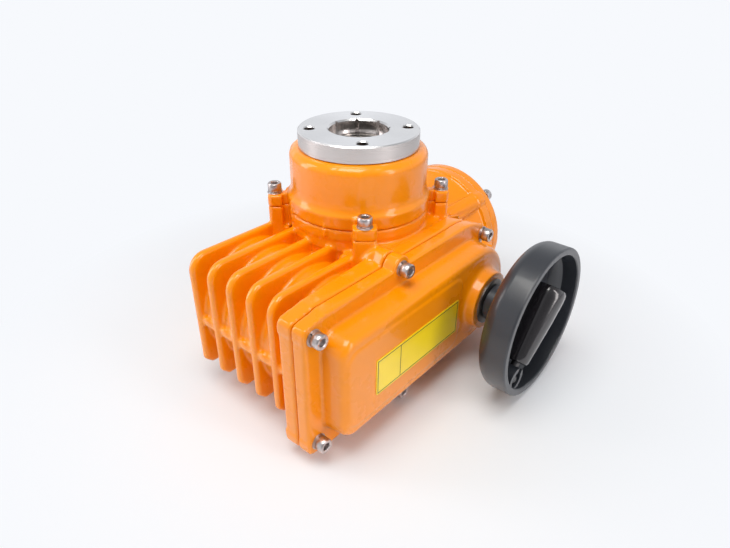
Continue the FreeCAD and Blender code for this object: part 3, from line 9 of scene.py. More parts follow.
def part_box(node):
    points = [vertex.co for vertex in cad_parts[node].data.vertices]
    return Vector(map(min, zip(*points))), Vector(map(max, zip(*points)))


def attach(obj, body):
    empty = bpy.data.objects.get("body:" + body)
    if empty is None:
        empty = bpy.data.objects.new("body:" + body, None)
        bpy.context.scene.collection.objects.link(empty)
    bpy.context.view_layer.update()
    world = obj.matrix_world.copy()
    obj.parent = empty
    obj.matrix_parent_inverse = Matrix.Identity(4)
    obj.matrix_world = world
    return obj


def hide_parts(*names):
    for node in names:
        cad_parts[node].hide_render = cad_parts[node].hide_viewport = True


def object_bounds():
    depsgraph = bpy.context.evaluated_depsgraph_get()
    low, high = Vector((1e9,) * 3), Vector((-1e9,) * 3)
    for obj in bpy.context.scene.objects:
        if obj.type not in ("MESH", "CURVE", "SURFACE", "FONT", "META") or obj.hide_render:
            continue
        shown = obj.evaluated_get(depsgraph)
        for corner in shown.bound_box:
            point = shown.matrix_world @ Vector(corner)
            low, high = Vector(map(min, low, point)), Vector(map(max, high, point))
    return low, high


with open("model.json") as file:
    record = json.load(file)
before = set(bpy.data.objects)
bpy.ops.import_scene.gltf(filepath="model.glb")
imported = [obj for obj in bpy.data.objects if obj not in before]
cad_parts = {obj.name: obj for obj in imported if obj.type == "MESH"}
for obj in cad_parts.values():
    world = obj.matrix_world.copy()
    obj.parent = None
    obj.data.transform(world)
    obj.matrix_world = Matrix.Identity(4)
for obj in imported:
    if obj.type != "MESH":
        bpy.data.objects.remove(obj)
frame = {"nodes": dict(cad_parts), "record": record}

CAD_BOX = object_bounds()

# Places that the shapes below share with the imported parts, in metres
CENTRE_Z = -0.119
SEAM_Z = -0.056
BARREL_RADIUS = 0.050
SHOULDER_Z = -0.038
QUARTERS = [math.radians(45 + 90 * number) for number in range(4)]

LUG_SEAT_Z = -0.0475
LUG_FACE = 0.0671
LUG_BACK = 0.0568
LUG_HALF_WIDTH = 0.0082
SEAM_GAP = 0.0002

FIN_COUNT = 5
FIN_BACK_X = -0.047
FIN_PITCH = 0.0199
FIN_THICKNESS = 0.0076

JOINT_BACK_X = 0.052
COVER_BACK_X = 0.0644
BOLT_CIRCLE = 0.035
HOLE_RADIUS = 0.004

WORM_Y = 0.034
DISH_X = 0.1284
HANDLE_LEAN = math.radians(50)
PIVOT_REACH = 0.045
PIVOT = Vector((0.1384, WORM_Y - PIVOT_REACH * math.cos(HANDLE_LEAN),
                CENTRE_Z - PIVOT_REACH * math.sin(HANDLE_LEAN)))


# Colour and node helpers

def srgb(red, green, blue):
    """A colour given as 0 to 255 screen values, as the linear colour that the shader wants."""
    def linear(value):
        value /= 255
        return value / 12.92 if value <= 0.04045 else ((value + 0.055) / 1.055) ** 2.4
    return (linear(red), linear(green), linear(blue), 1.0)


def shade(colour, factor):
    """The same colour, lighter or darker."""
    return tuple(min(1.0, c * factor) for c in colour[:3]) + (1.0,)


class Graph:
    """The node tree of a material or a world, with short calls for the nodes that they share."""

    def __init__(self, owner, shader="Principled BSDF"):
        owner.use_nodes = True
        self.owner = owner
        self.tree = owner.node_tree
        self.shader = self.tree.nodes[shader]
        self.coordinates = self.add("ShaderNodeTexCoord").outputs["Object"]

    def add(self, kind, **values):
        node = self.tree.nodes.new(kind)
        for key, value in values.items():
            setattr(node, key, value)
        return node

    def link(self, output, socket):
        self.tree.links.new(output, socket)

    def noise(self, scale, detail=3.0, roughness=0.5, stretch=None):
        """Noise with the given number of features a metre; stretch squeezes it along the axes."""
        node = self.add("ShaderNodeTexNoise")
        node.inputs["Scale"].default_value = scale
        node.inputs["Detail"].default_value = detail
        node.inputs["Roughness"].default_value = roughness
        source = self.coordinates
        if stretch:
            mapping = self.add("ShaderNodeMapping")
            mapping.inputs["Scale"].default_value = stretch
            self.link(source, mapping.inputs["Vector"])
            source = mapping.outputs["Vector"]
        self.link(source, node.inputs["Vector"])
        return node.outputs["Fac"]

    def ramp(self, factor, stops):
        """A colour ramp over (position, colour) stops."""
        node = self.add("ShaderNodeValToRGB")
        elements = node.color_ramp.elements
        while len(elements) < len(stops):
            elements.new(0.5)
        for element, (position, colour) in zip(elements, stops):
            element.position = position
            element.color = colour
        self.link(factor, node.inputs["Fac"])
        return node.outputs["Color"]

    def tones(self, factor, colour, *stops):
        """One colour, lighter or darker at each (position, factor) stop."""
        return self.ramp(factor, [(position, shade(colour, by)) for position, by in stops])

    def levels(self, factor, low, high, start=0.0, end=1.0):
        """Maps a factor to a number between low and high."""
        node = self.add("ShaderNodeMapRange")
        node.inputs["From Min"].default_value = start
        node.inputs["From Max"].default_value = end
        node.inputs["To Min"].default_value = low
        node.inputs["To Max"].default_value = high
        self.link(factor, node.inputs["Value"])
        return node.outputs["Result"]

    def bump(self, height, distance, strength=1.0, below=None):
        """A bump of the given depth in metres, on top of an earlier one."""
        node = self.add("ShaderNodeBump")
        node.inputs["Distance"].default_value = distance
        node.inputs["Strength"].default_value = strength
        self.link(height, node.inputs["Height"])
        if below:
            self.link(below, node.inputs["Normal"])
        return node.outputs["Normal"]

    def maths(self, operation, first, second):
        """Two outputs through one math node."""
        node = self.add("ShaderNodeMath", operation=operation)
        self.link(first, node.inputs[0])
        self.link(second, node.inputs[1])
        return node.outputs["Value"]

    def length(self, vector):
        """How long a vector is."""
        node = self.add("ShaderNodeVectorMath", operation="LENGTH")
        self.link(vector, node.inputs[0])
        return node.outputs["Value"]

    def split(self, vector):
        """The X, Y and Z outputs of a vector."""
        node = self.add("ShaderNodeSeparateXYZ")
        self.link(vector, node.inputs["Vector"])
        return node.outputs

    def join(self, **parts):
        """A vector of the outputs given for X, Y and Z."""
        node = self.add("ShaderNodeCombineXYZ")
        for axis, output in parts.items():
            self.link(output, node.inputs[axis.upper()])
        return node.outputs["Vector"]

    def set(self, **values):
        """Sets the shader's own sockets, whose names have a space for each underscore."""
        for key, value in values.items():
            self.shader.inputs[key.replace("_", " ")].default_value = value

    def into(self, socket, output):
        """Links an output into the shader's socket."""
        self.link(output, self.shader.inputs[socket])


# Finishes

def material(name):
    """The node tree of a new material."""
    return Graph(bpy.data.materials.new(name))


def orange_paint():
    """Glossy powder coat over a die casting: orange peel, slow waves and a little tone drift."""
    g = material("orange_paint")
    base = srgb(242, 142, 0)
    g.into("Base Color", g.tones(g.noise(9.0, 2.0), base, (0.25, 0.95), (0.75, 1.04)))
    g.into("Roughness", g.levels(g.noise(60.0, 3.0), 0.22, 0.34))
    peel = g.bump(g.noise(620.0, 2.0, 0.4), 0.00004, 0.16)
    g.into("Normal", g.bump(g.noise(55.0, 2.0), 0.0005, 0.14, peel))
    g.set(Coat_Weight=0.55, Coat_Roughness=0.05, Specular_IOR_Level=0.22)
    return g.owner


def turned_steel(name, colour):
    """Lathe-turned stainless steel: fine grooves around the X axis."""
    g = material(name)
    along, around = 900.0, 22.5
    grooves = g.noise(1.0, 3.0, 0.6, (along, around, around))
    g.into("Base Color", g.tones(g.noise(30.0), colour, (0.2, 0.88), (0.8, 1.06)))
    g.into("Roughness", g.levels(grooves, 0.16, 0.36, 0.3, 0.7))
    g.into("Normal", g.bump(grooves, 0.00003, 0.35))
    g.set(Metallic=1.0)
    return g.owner


def face_turned_steel(name, colour):
    """Stainless steel faced on a lathe: rings about the Z axis on its flat faces, its upright side
    painted darker and warmer as painted shade and a painted reflection.
    """
    g = material(name)
    part = g.split(g.coordinates)
    from_axis = g.length(g.join(x=part["X"], y=part["Y"]))
    grooves = g.add("ShaderNodeTexNoise")
    grooves.inputs["Scale"].default_value = 2600.0
    grooves.inputs["Detail"].default_value = 2.0
    g.link(g.join(x=from_axis, y=part["Z"]), grooves.inputs["Vector"])
    normal = g.add("ShaderNodeTexCoord").outputs["Normal"]
    faced = g.levels(g.split(normal)["Z"], 0.0, 1.0, 0.3, 0.8)
    tone = g.add("ShaderNodeMix", data_type="RGBA", blend_type="MULTIPLY")
    tone.inputs["Factor"].default_value = 1.0
    g.link(g.tones(g.noise(26.0), colour, (0.2, 0.93), (0.8, 1.04)), tone.inputs["A"])
    # the upright side is painted darker and warmer than the flat faces: painted shade with a warm
    # painted reflection
    painted_side_shade, face = (0.70, 0.65, 0.62, 1.0), (1.0, 1.0, 1.0, 1.0)
    g.link(g.ramp(faced, [(0.0, painted_side_shade), (1.0, face)]), tone.inputs["B"])
    g.into("Base Color", tone.outputs["Result"])
    g.into("Roughness", g.levels(grooves.outputs["Fac"], 0.16, 0.30, 0.3, 0.7))
    g.into("Normal", g.bump(grooves.outputs["Fac"], 0.00002, 0.20))
    tangent = g.add("ShaderNodeTangent", direction_type="RADIAL", axis="Z")
    g.into("Tangent", tangent.outputs["Tangent"])
    g.into("Anisotropic", g.levels(faced, 0.0, 0.75))
    g.set(Metallic=1.0)
    return g.owner


def plated(name, colour, roughness):
    """Plated or machined steel with small stains and handling marks."""
    g = material(name)
    g.into("Base Color", g.tones(g.noise(180.0, 4.0), colour, (0.25, 0.72), (0.7, 1.08)))
    g.into("Roughness", g.levels(g.noise(420.0, 3.0), roughness - 0.06, roughness + 0.12))
    g.into("Normal", g.bump(g.noise(1500.0, 2.0), 0.00003, 0.3))
    g.set(Metallic=1.0)
    return g.owner


def moulded(name, colour, roughness, grain, depth, coat=0.0):
    """Moulded plastic or rubber: an even grain and a slight tone drift."""
    g = material(name)
    g.into("Base Color", g.tones(g.noise(14.0), colour, (0.3, 0.88), (0.7, 1.12)))
    g.into("Roughness", g.levels(g.noise(90.0, 3.0), roughness - 0.05, roughness + 0.05))
    g.into("Normal", g.bump(g.noise(grain, 2.0), depth, 0.4))
    g.set(Coat_Weight=coat, Coat_Roughness=0.12)
    return g.owner


def clear_glass():
    """Toughened glass, faintly green and not quite clean."""
    g = material("window_glass")
    g.into("Roughness", g.levels(g.noise(40.0), 0.02, 0.06))
    g.set(Base_Color=(0.93, 0.96, 0.95, 1.0), Transmission_Weight=1.0, IOR=1.5)
    return g.owner


def finishes():
    """One material for each of the record's slots."""
    return {
        "orange_paint": orange_paint(),
        "stainless": turned_steel("stainless", srgb(206, 204, 200)),
        "zinc_steel": plated("zinc_steel", srgb(200, 192, 191), 0.31),
        "plug_steel": plated("plug_steel", srgb(180, 178, 174), 0.30),
        "gear_steel": plated("gear_steel", srgb(150, 150, 153), 0.28),
        "bronze": plated("bronze", srgb(196, 150, 88), 0.30),
        "cast_aluminium": plated("cast_aluminium", srgb(190, 191, 194), 0.42),
        "black_nylon": moulded("black_nylon", srgb(44, 47, 53), 0.34, 1500.0, 0.00005, 0.25),
        "black_gloss": moulded("black_gloss", srgb(34, 31, 34), 0.16, 700.0, 0.00001, 0.7),
        "seal_rubber": moulded("seal_rubber", srgb(34, 34, 35), 0.6, 900.0, 0.00005),
        "window_glass": clear_glass(),
        "dial_plastic": moulded("dial_plastic", srgb(232, 228, 212), 0.35, 800.0, 0.00002, 0.2),
        "board_green": moulded("board_green", srgb(32, 96, 58), 0.40, 900.0, 0.00003, 0.3),
        "yellow_film": moulded("yellow_film", srgb(250, 214, 14), 0.32, 500.0, 0.00002, 0.3),
    }


FINISHES = finishes()
SLOTS = {row["node"]: row["material_slot"] for row in frame["record"]["subparts"]}


def dress_nodes():
    """Gives every CAD node its finish."""
    dark = plated("blackened_steel", srgb(84, 83, 84), 0.30)
    special = {"mounting_flange": face_turned_steel("flange_steel", srgb(236, 236, 237)),
               "handle_arm": dark, "handle_pin": dark,
               "seal_retainer": plated("dull_steel", srgb(132, 128, 124), 0.38)}
    for name, node in frame["nodes"].items():
        finish = special.get(name, FINISHES[SLOTS[name]])
        node.data.materials.clear()
        node.data.materials.append(finish)


def smooth_by_angle(thing, degrees=35):
    """Shades smooth, but leaves every edge sharper than the angle crisp."""
    with bpy.context.temp_override(object=thing, active_object=thing, selected_objects=[thing],
                                   selected_editable_objects=[thing]):
        bpy.ops.object.shade_smooth_by_angle(angle=math.radians(degrees))


# Shapes

def linked(name, bm, slot, body):
    """Makes a piece of the bmesh, dressed in its slot's finish and riding on its body."""
    mesh = bpy.data.meshes.new(name)
    bmesh.ops.recalc_face_normals(bm, faces=bm.faces)
    bm.to_mesh(mesh)
    bm.free()
    piece = bpy.data.objects.new(name, mesh)
    bpy.context.collection.objects.link(piece)
    piece.data.materials.append(FINISHES[slot])
    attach(piece, body)
    return piece


def settle(piece):
    """Applies the piece's modifiers to its mesh."""
    graph = bpy.context.evaluated_depsgraph_get()
    made = bpy.data.meshes.new_from_object(piece.evaluated_get(graph))
    piece.modifiers.clear()
    piece.data = made


def skin(bm, rings):
    """A closed solid through rings of equally many points, capped at both ends."""
    rows = [[bm.verts.new(point) for point in ring] for ring in rings]
    count = len(rows[0])
    for lower, upper in zip(rows, rows[1:]):
        for i in range(count):
            j = (i + 1) % count
            bm.faces.new((lower[i], lower[j], upper[j], upper[i]))
    bm.faces.new(rows[0][::-1])
    bm.faces.new(rows[-1])


def hull(bm, points):
    """The convex solid around the points."""
    made = bmesh.ops.convex_hull(bm, input=[bm.verts.new(p) for p in points])
    loose = [v for v in made["geom_interior"] if isinstance(v, bmesh.types.BMVert)]
    bmesh.ops.delete(bm, geom=loose, context="VERTS")


def disc(x, y, z, radius):
    """Points on a circle that faces along X."""
    count = 20
    turns = [math.tau * i / count for i in range(count)]
    return [Vector((x, y, z)) + Vector((0.0, radius * math.cos(t), radius * math.sin(t))) for t in turns]


def groups(bm):
    """The sets of vertices that hang together."""
    left = set(bm.verts)
    found = []
    while left:
        growing = [left.pop()]
        seen = set(growing)
        while growing:
            vert = growing.pop()
            for edge in vert.link_edges:
                other = edge.other_vert(vert)
                if other not in seen:
                    seen.add(other)
                    growing.append(other)
        left -= seen
        found.append(seen)
    return found


def islands(node):
    """The box of each separate solid in a CAD node, as (low, high) corners."""
    bm = bmesh.new()
    bm.from_mesh(node.data)
    bmesh.ops.remove_doubles(bm, verts=bm.verts, dist=1e-6)
    boxes = [(Vector([min(v.co[k] for v in group) for k in range(3)]),
              Vector([max(v.co[k] for v in group) for k in range(3)])) for group in groups(bm)]
    bm.free()
    return sorted(boxes, key=lambda box: tuple(box[0]))


def drop_crumbs(mesh):
    """Takes out the loose crumbs that melting leaves in narrow clefts."""
    fewest = 400
    bm = bmesh.new()
    bm.from_mesh(mesh)
    for group in groups(bm):
        if len(group) < fewest:
            for vert in group:
                bm.verts.remove(vert)
    bm.to_mesh(mesh)
    bm.free()


def cast(name, extras, voxel, faces):
    """The casting as it leaves its mould: the CAD solid and its blends in one eased skin."""
    bm = bmesh.new()
    bm.from_mesh(frame["nodes"][name].data)
    trim_casting(bm)
    for extra in extras:
        extra(bm)
    piece = linked("cast_" + name, bm, SLOTS[name], "housing")
    melt = piece.modifiers.new("melt", "REMESH")
    melt.mode = "VOXEL"
    melt.voxel_size = voxel
    melt.use_smooth_shade = True
    ease = piece.modifiers.new("ease", "SMOOTH")
    ease.factor = 0.5
    ease.iterations = 5
    settle(piece)
    drop_crumbs(piece.data)
    thin = piece.modifiers.new("thin", "DECIMATE")
    thin.ratio = min(1.0, faces / (2 * len(piece.data.polygons)))
    settle(piece)
    for face in piece.data.polygons:
        face.use_smooth = True
    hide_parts(name)


def lug_block(bm, angle, low, high, root, flare=0.0):
    """One clamping lug: a flat-faced block out past its screw, whose foot may flare."""
    turn = Matrix.Rotation(angle, 4, "Z")
    half, ease, face = LUG_HALF_WIDTH, 0.0022, LUG_FACE
    outline = [(root, -half), (face - ease, -half), (face, ease - half), (face, half - ease),
               (face - ease, half), (root, half)]
    widen = 1 + 90 * flare
    foot = [(x + (flare if x > root else 0), y * widen) for x, y in outline]
    hull(bm, [turn @ Vector((x, y, high)) for x, y in outline]
         + [turn @ Vector((x, y, low)) for x, y in foot])


def upper_lugs(bm):
    """The lugs above the seam, up to the seats of their screws."""
    for angle in QUARTERS:
        lug_block(bm, angle, SEAM_Z + SEAM_GAP, LUG_SEAT_Z, LUG_BACK)


def lower_lugs(bm):
    """Each lug goes on below the seam, the front one down to the shoulder of the gear joint."""
    foot, lap, flare = 0.010, 0.004, 0.0022
    for angle, low in zip(QUARTERS, (-0.0800, -0.0765, -0.0765, -0.0850)):
        lug_block(bm, angle, low, SEAM_Z - SEAM_GAP, LUG_BACK)
        lug_block(bm, angle, low - foot, low + lap, LUG_BACK - lap, flare)


def turning(bm, outline, axis="z", origin=(0, 0, 0), steps=96):
    """A closed ring: an outline of (radius, distance) corners, turned about the Y or Z axis."""
    rows = []
    for i in range(steps):
        angle = math.tau * i / steps
        c, s = math.cos(angle), math.sin(angle)
        row = []
        for r, d in outline:
            point = {"y": (r * s, d, r * c), "z": (r * c, r * s, d)}[axis]
            row.append(bm.verts.new(Vector(origin) + Vector(point)))
        rows.append(row)
    for i in range(steps):
        for k in range(len(outline)):
            m = (k + 1) % len(outline)
            j = (i + 1) % steps
            bm.faces.new((rows[i][k], rows[i][m], rows[j][m], rows[j][k]))


def barrel_skirt(bm):
    """Two shallow steps around the barrel below the seam."""
    turning(bm, [(0.0450, -0.0562), (0.0521, -0.0562), (0.0521, -0.0640), (0.0515, -0.0643),
                 (0.0515, -0.0725), (0.0508, -0.0735), (0.0508, -0.0800), (0.0495, -0.0860),
                 (0.0450, -0.0860)], steps=180)


def upper_skirt(bm):
    """The upper casting turns out above the seam to a crisp ridge, then drops to its joint."""
    turning(bm, [(0.0460, -0.0395), (0.0501, -0.0395), (0.0503, -0.0415), (0.0507, -0.0432),
                 (0.0514, -0.0447), (0.0522, -0.0456), (0.0526, -0.0462), (0.0527, -0.0470),
                 (0.0525, -0.0500), (0.0523, -0.0559), (0.0460, -0.0559)], steps=180)


def bay_flare(bm):
    """The terminal compartment widens into its flange, with a facetted rib behind each bolt."""
    turning(bm, [(0.0430, 0.0730), (0.0461, 0.0730), (0.0468, 0.0800), (0.0480, 0.0880),
                 (0.0498, 0.0960), (0.0520, 0.1030), (0.0540, 0.1082), (0.0430, 0.1082)],
            "y", (0, 0, CENTRE_Z))
    rib = [(0.0470, 0.0055, 0.0600), (0.0455, 0.0075, 0.0600), (0.0555, 0.0062, 0.1085),
           (0.0440, 0.0110, 0.1085)]
    for angle in QUARTERS:
        place = Matrix.Translation((0, 0, CENTRE_Z)) @ Matrix.Rotation(angle, 4, "Y")
        hull(bm, [place @ Vector((side * across, along, out))
                  for out, across, along in rib for side in (-1, 1)])


def fin_bars(bm):
    """The flat bars that tie the fins together at half height."""
    lap = 0.001
    section = ((-0.1215, -0.1180), (-0.1225, -0.1190), (-0.1225, -0.1232), (-0.1215, -0.1242),
               (-0.1080, -0.1165), (-0.1080, -0.1242))
    for number in range(FIN_COUNT):
        start = FIN_BACK_X + FIN_PITCH * number + FIN_THICKNESS - lap
        end = start + FIN_PITCH - FIN_THICKNESS + 2 * lap
        hull(bm, [Vector((x, y, z)) for x in (start, end) for y, z in section])


def lobe_ramp(bm):
    """The middle bolt's lobe runs back and down into the shoulder."""
    reach, fall = 0.051, 0.0105
    for side in (1, -1):
        edge = CENTRE_Z + reach * side
        hull(bm, disc(JOINT_BACK_X + 0.0008, -0.042, edge, 0.0082)
             + disc(0.026, -0.046, edge - fall * side, 0.0062))


def trim_casting(bm):
    """Draws the skirt in to the barrel, flattens the lugs' outer faces and thins the fins."""
    half, slim = FIN_THICKNESS / 2, 0.84
    skirt_radius, keep = 0.0541, 0.1
    lug_half, lug_foot = 0.008, -0.1
    slack = 0.00005
    for vert in bm.verts:
        if vert.co.y < 0.0:
            for number in range(FIN_COUNT):
                off = vert.co.x - (FIN_BACK_X + half + FIN_PITCH * number)
                if abs(off) < half + slack:
                    vert.co.x -= off * (1 - slim)
        if vert.co.z < SHOULDER_Z + 2 * slack:
            reach = vert.co.xy.length
            if BARREL_RADIUS < reach < skirt_radius:
                vert.co.xy *= (BARREL_RADIUS + (reach - BARREL_RADIUS) * keep) / reach
        for angle in QUARTERS:
            out = Vector((math.cos(angle), math.sin(angle)))
            past = vert.co.xy.dot(out) - LUG_FACE
            if past > 0 and vert.co.z > lug_foot and abs(vert.co.xy.cross(out)) < lug_half:
                vert.co.xy -= out * past


def corner_fillers(back, thick):
    """Fills a joint flange's corners straight from bolt to bolt, with no notch at the boss."""
    def fill(bm):
        for side in (1, -1):
            points = disc(back, -0.1271, CENTRE_Z + 0.0450 * side, 0.0042)
            points += disc(back, -0.1230, CENTRE_Z + 0.0410 * side, 0.0083)
            points += [Vector((back, y, CENTRE_Z + z * side))
                       for y, z in ((-0.112, 0.0518), (-0.104, 0.0440), (-0.112, 0.0400))]
            hull(bm, points + [p + Vector((thick, 0, 0)) for p in points])
    return fill


def saddle(bm):
    """The sloping shoulder from the barrel to the joint flange, and on to the compartment."""
    top = CENTRE_Z + 0.0505
    shoulder = ((0.053, -0.040, 0.000), (0.053, 0.036, 0.000), (0.053, -0.040, -0.020),
                (0.053, 0.036, -0.020), (0.030, -0.036, 0.004), (0.030, 0.036, 0.004),
                (0.030, -0.036, -0.020), (0.030, 0.036, -0.020))
    beside = ((0.056, 0.020, 0.000), (0.056, 0.048, -0.006), (0.056, 0.020, -0.030),
              (0.056, 0.060, -0.020), (0.030, 0.030, 0.004), (0.022, 0.060, -0.009),
              (0.022, 0.030, -0.030), (0.022, 0.068, -0.030))
    for corners in (shoulder, beside):
        hull(bm, [Vector((x, y, top + z)) for x, y, z in corners])


def castings():
    """The four castings, each with its forms, its voxel size and its number of faces."""
    sunk = 0.0004
    joint_corners = corner_fillers(JOINT_BACK_X + sunk, 0.0108)
    cover_corners = corner_fillers(COVER_BACK_X + sunk, 0.0090)
    cast("main_housing", [lower_lugs, barrel_skirt, bay_flare, fin_bars, joint_corners, lobe_ramp,
                          saddle], 0.00095, 190000)
    cast("output_housing", [upper_lugs, upper_skirt], 0.0008, 120000)
    cast("gear_cover", [cover_corners], 0.0008, 150000)
    cast("terminal_cover", [], 0.0009, 60000)


def screw_rings(knurls):
    """The rings of a socket cap screw, from its tip to the bottom of its socket, along Z."""
    count = knurls * 2
    shank, head, height, socket = 0.003, 0.005, 0.006, 0.0025
    grip, depth, groove = 0.018, 0.003, 0.00014
    sixth = math.pi / 3

    def circle(radius, z, ridged=False, hexagon=False):
        made = []
        for i in range(count):
            turn = math.tau * i / count
            r = radius - (groove if ridged and i % 2 else 0.0)
            if hexagon:
                r = radius / math.cos((turn + sixth / 2) % sixth - sixth / 2)
            made.append(Vector((r * math.cos(turn), r * math.sin(turn), z)))
        return made

    return [circle(shank - 0.0006, -grip), circle(shank, -grip + 0.0006), circle(shank, 0),
            circle(head - 0.0004, 0), circle(head - 0.0002, 0.0004), circle(head, 0.0006, True),
            circle(head, height - 0.0007, True), circle(head - 0.0002, height - 0.0005),
            circle(head - 0.0006, height), circle(socket + 0.0005, height),
            circle(socket, height - 0.0004, hexagon=True),
            circle(socket, height - depth, hexagon=True)]


def split_ring(bm, place, start):
    """A spring washer: a ring cut once and sprung apart a little at the cut."""
    inner, outer, low, thick, spring = 0.0033, 0.00515, 0.0006, 0.0009, 0.0003
    slit, steps = 0.10, 44
    rings = []
    for i in range(steps + 1):
        turn = start + slit + (math.tau - 2 * slit) * i / steps
        rise = spring * (i / steps - 0.5)
        ring = [(inner, low), (outer, low), (outer, low + thick), (inner, low + thick)]
        rings.append([place @ Vector((r * math.cos(turn), r * math.sin(turn), z + rise))
                      for r, z in ring])
    skin(bm, rings)


def flat_ring(bm, place):
    """A plain washer with eased edges."""
    inner, outer, thick, ease = 0.0033, 0.0056, 0.0006, 0.0001
    made = bmesh.new()
    turning(made, [(inner, 0), (outer - ease, 0), (outer, ease), (outer, thick - ease),
                   (outer - ease, thick), (inner, thick)], steps=48)
    made.transform(place)
    mesh = bpy.data.meshes.new("washer")
    made.to_mesh(mesh)
    made.free()
    bm.from_mesh(mesh)
    bpy.data.meshes.remove(mesh)


def screws():
    """Knurled socket screws on a spring washer and a plain washer, where the CAD has them."""
    knurls = 34
    along = {"x": Matrix.Rotation(math.pi / 2, 4, "Y"), "y": Matrix.Rotation(-math.pi / 2, 4, "X"),
             "z": Matrix.Identity(4)}
    for label, axis in (("housing", "z"), ("cover", "x"), ("lid", "y")):
        k = "xyz".index(axis)
        heads = bmesh.new()
        rings = bmesh.new()
        for number, (low, high) in enumerate(islands(frame["nodes"][label + "_washers"])):
            foot = (low + high) / 2
            foot[k] = low[k]
            seat = foot.copy()
            seat[k] = high[k]
            # each screw is left at a turn of its own
            turn = along[axis] @ Matrix.Rotation(0.7 + 1.9 * number, 4, "Z")
            place = Matrix.Translation(seat) @ turn
            skin(heads, [[place @ p for p in ring] for ring in screw_rings(knurls)])
            base = Matrix.Translation(foot) @ turn
            flat_ring(rings, base)
            split_ring(rings, base, 1.1 * number)
        for bm, made, replaced in ((heads, "_socket_screws", "_screws"),
                                   (rings, "_spring_washers", "_washers")):
            piece = linked(label + made, bm, "zinc_steel", "housing")
            smooth_by_angle(piece, 40)
            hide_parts(label + replaced)


def handle_grip():
    """The grip, a long pear-shaped turning that spins on its spindle."""
    axis = Vector((0, math.cos(HANDLE_LEAN), math.sin(HANDLE_LEAN)))
    turn = Vector((0, 0, 1)).rotation_difference(axis).to_matrix().to_4x4()
    place = Matrix.Translation(PIVOT) @ turn
    bore = 0.00315
    outline = [(bore, 0.0120), (0.0066, 0.0120), (0.0078, 0.0126), (0.0085, 0.0140),
               (0.0089, 0.0180), (0.0094, 0.0240), (0.0102, 0.0320), (0.0110, 0.0400),
               (0.0117, 0.0480), (0.0122, 0.0560), (0.0127, 0.0630), (0.0127, 0.0668),
               (0.0123, 0.0690), (0.0113, 0.0705), (0.0098, 0.0710), (0.0052, 0.0710),
               (0.0049, 0.0706), (0.0049, 0.0680), (bore, 0.0680)]
    bm = bmesh.new()
    turning(bm, outline)
    bm.transform(place)
    piece = linked("pear_grip", bm, "black_gloss", "grip")
    smooth_by_angle(piece, 30)
    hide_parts("handle_grip")


def eased_flange():
    """The mounting flange with a countersunk mouth on each of its four holes."""
    bm = bmesh.new()
    bm.from_mesh(frame["nodes"]["mounting_flange"].data)
    bmesh.ops.remove_doubles(bm, verts=bm.verts, dist=1e-6)
    ease, slack = 0.0007, 0.00003
    for angle in QUARTERS:
        centre = BOLT_CIRCLE * Vector((math.cos(angle), math.sin(angle)))

        def on_wall(vert):
            return abs((vert.co.xy - centre).length - HOLE_RADIUS) < slack

        wall = [vert for vert in bm.verts if on_wall(vert)]
        faces = {f for vert in wall for f in vert.link_faces if abs(f.normal.z) < 0.1}
        edges = {edge for f in faces for edge in f.edges}
        bmesh.ops.bisect_plane(bm, geom=wall + list(edges) + list(faces), plane_co=(0, 0, -ease),
                               plane_no=(0, 0, 1), dist=1e-7)
        for vert in bm.verts:
            if on_wall(vert) and vert.co.z > -slack:
                vert.co.xy += (vert.co.xy - centre).normalized() * ease
    piece = linked("eased_flange", bm, "stainless", "housing")
    piece.data.materials[0] = frame["nodes"]["mounting_flange"].data.materials[0]
    piece.data.attributes.remove(piece.data.attributes["custom_normal"])
    smooth_by_angle(piece, 30)
    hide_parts("mounting_flange")


def dished_wheel():
    """The handwheel with the thin web of the real moulding, clear of the fuller grip."""
    bm = bmesh.new()
    bm.from_mesh(frame["nodes"]["handwheel"].data)
    sink, slack = 0.0032, 0.00005
    for vert in bm.verts:
        if abs(vert.co.x - DISH_X) < slack:
            vert.co.x -= sink
    piece = linked("dished_wheel", bm, "black_nylon", "wheel_shaft")
    smooth_by_angle(piece, 30)
    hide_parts("handwheel")


def plate_lines():
    """The plate's thin dark border and the line that divides it."""
    low, high = (Vector(corner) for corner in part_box("side_plate"))
    inset, wide, divide = 0.0011, 0.00055, 0.023
    back, front = high.x - 0.00008, high.x + 0.00008
    bm = bmesh.new()

    def strip(y0, y1, z0, z1):
        hull(bm, [Vector((x, y, z)) for x in (back, front) for y in (y0, y1) for z in (z0, z1)])

    left, right = low.y + inset, high.y - inset
    foot, head = low.z + inset, high.z - inset
    strip(left, right, foot, foot + wide)
    strip(left, right, head - wide, head)
    lap = wide / 10
    for start in (left + lap, left + divide, right - wide - lap):
        strip(start, start + wide, foot + lap, head - lap)
    linked("plate_border", bm, "seal_rubber", "housing")


# The set

WHITE = srgb(247, 249, 253)


def fade_to_white(g, near, far):
    """One where a camera ray meets the floor well away from the object, zero close to it."""
    fade = g.levels(g.length(g.coordinates), 0.0, 1.0, near, far)
    seen = g.add("ShaderNodeLightPath").outputs["Is Camera Ray"]
    return g.maths("MULTIPLY", fade, seen)


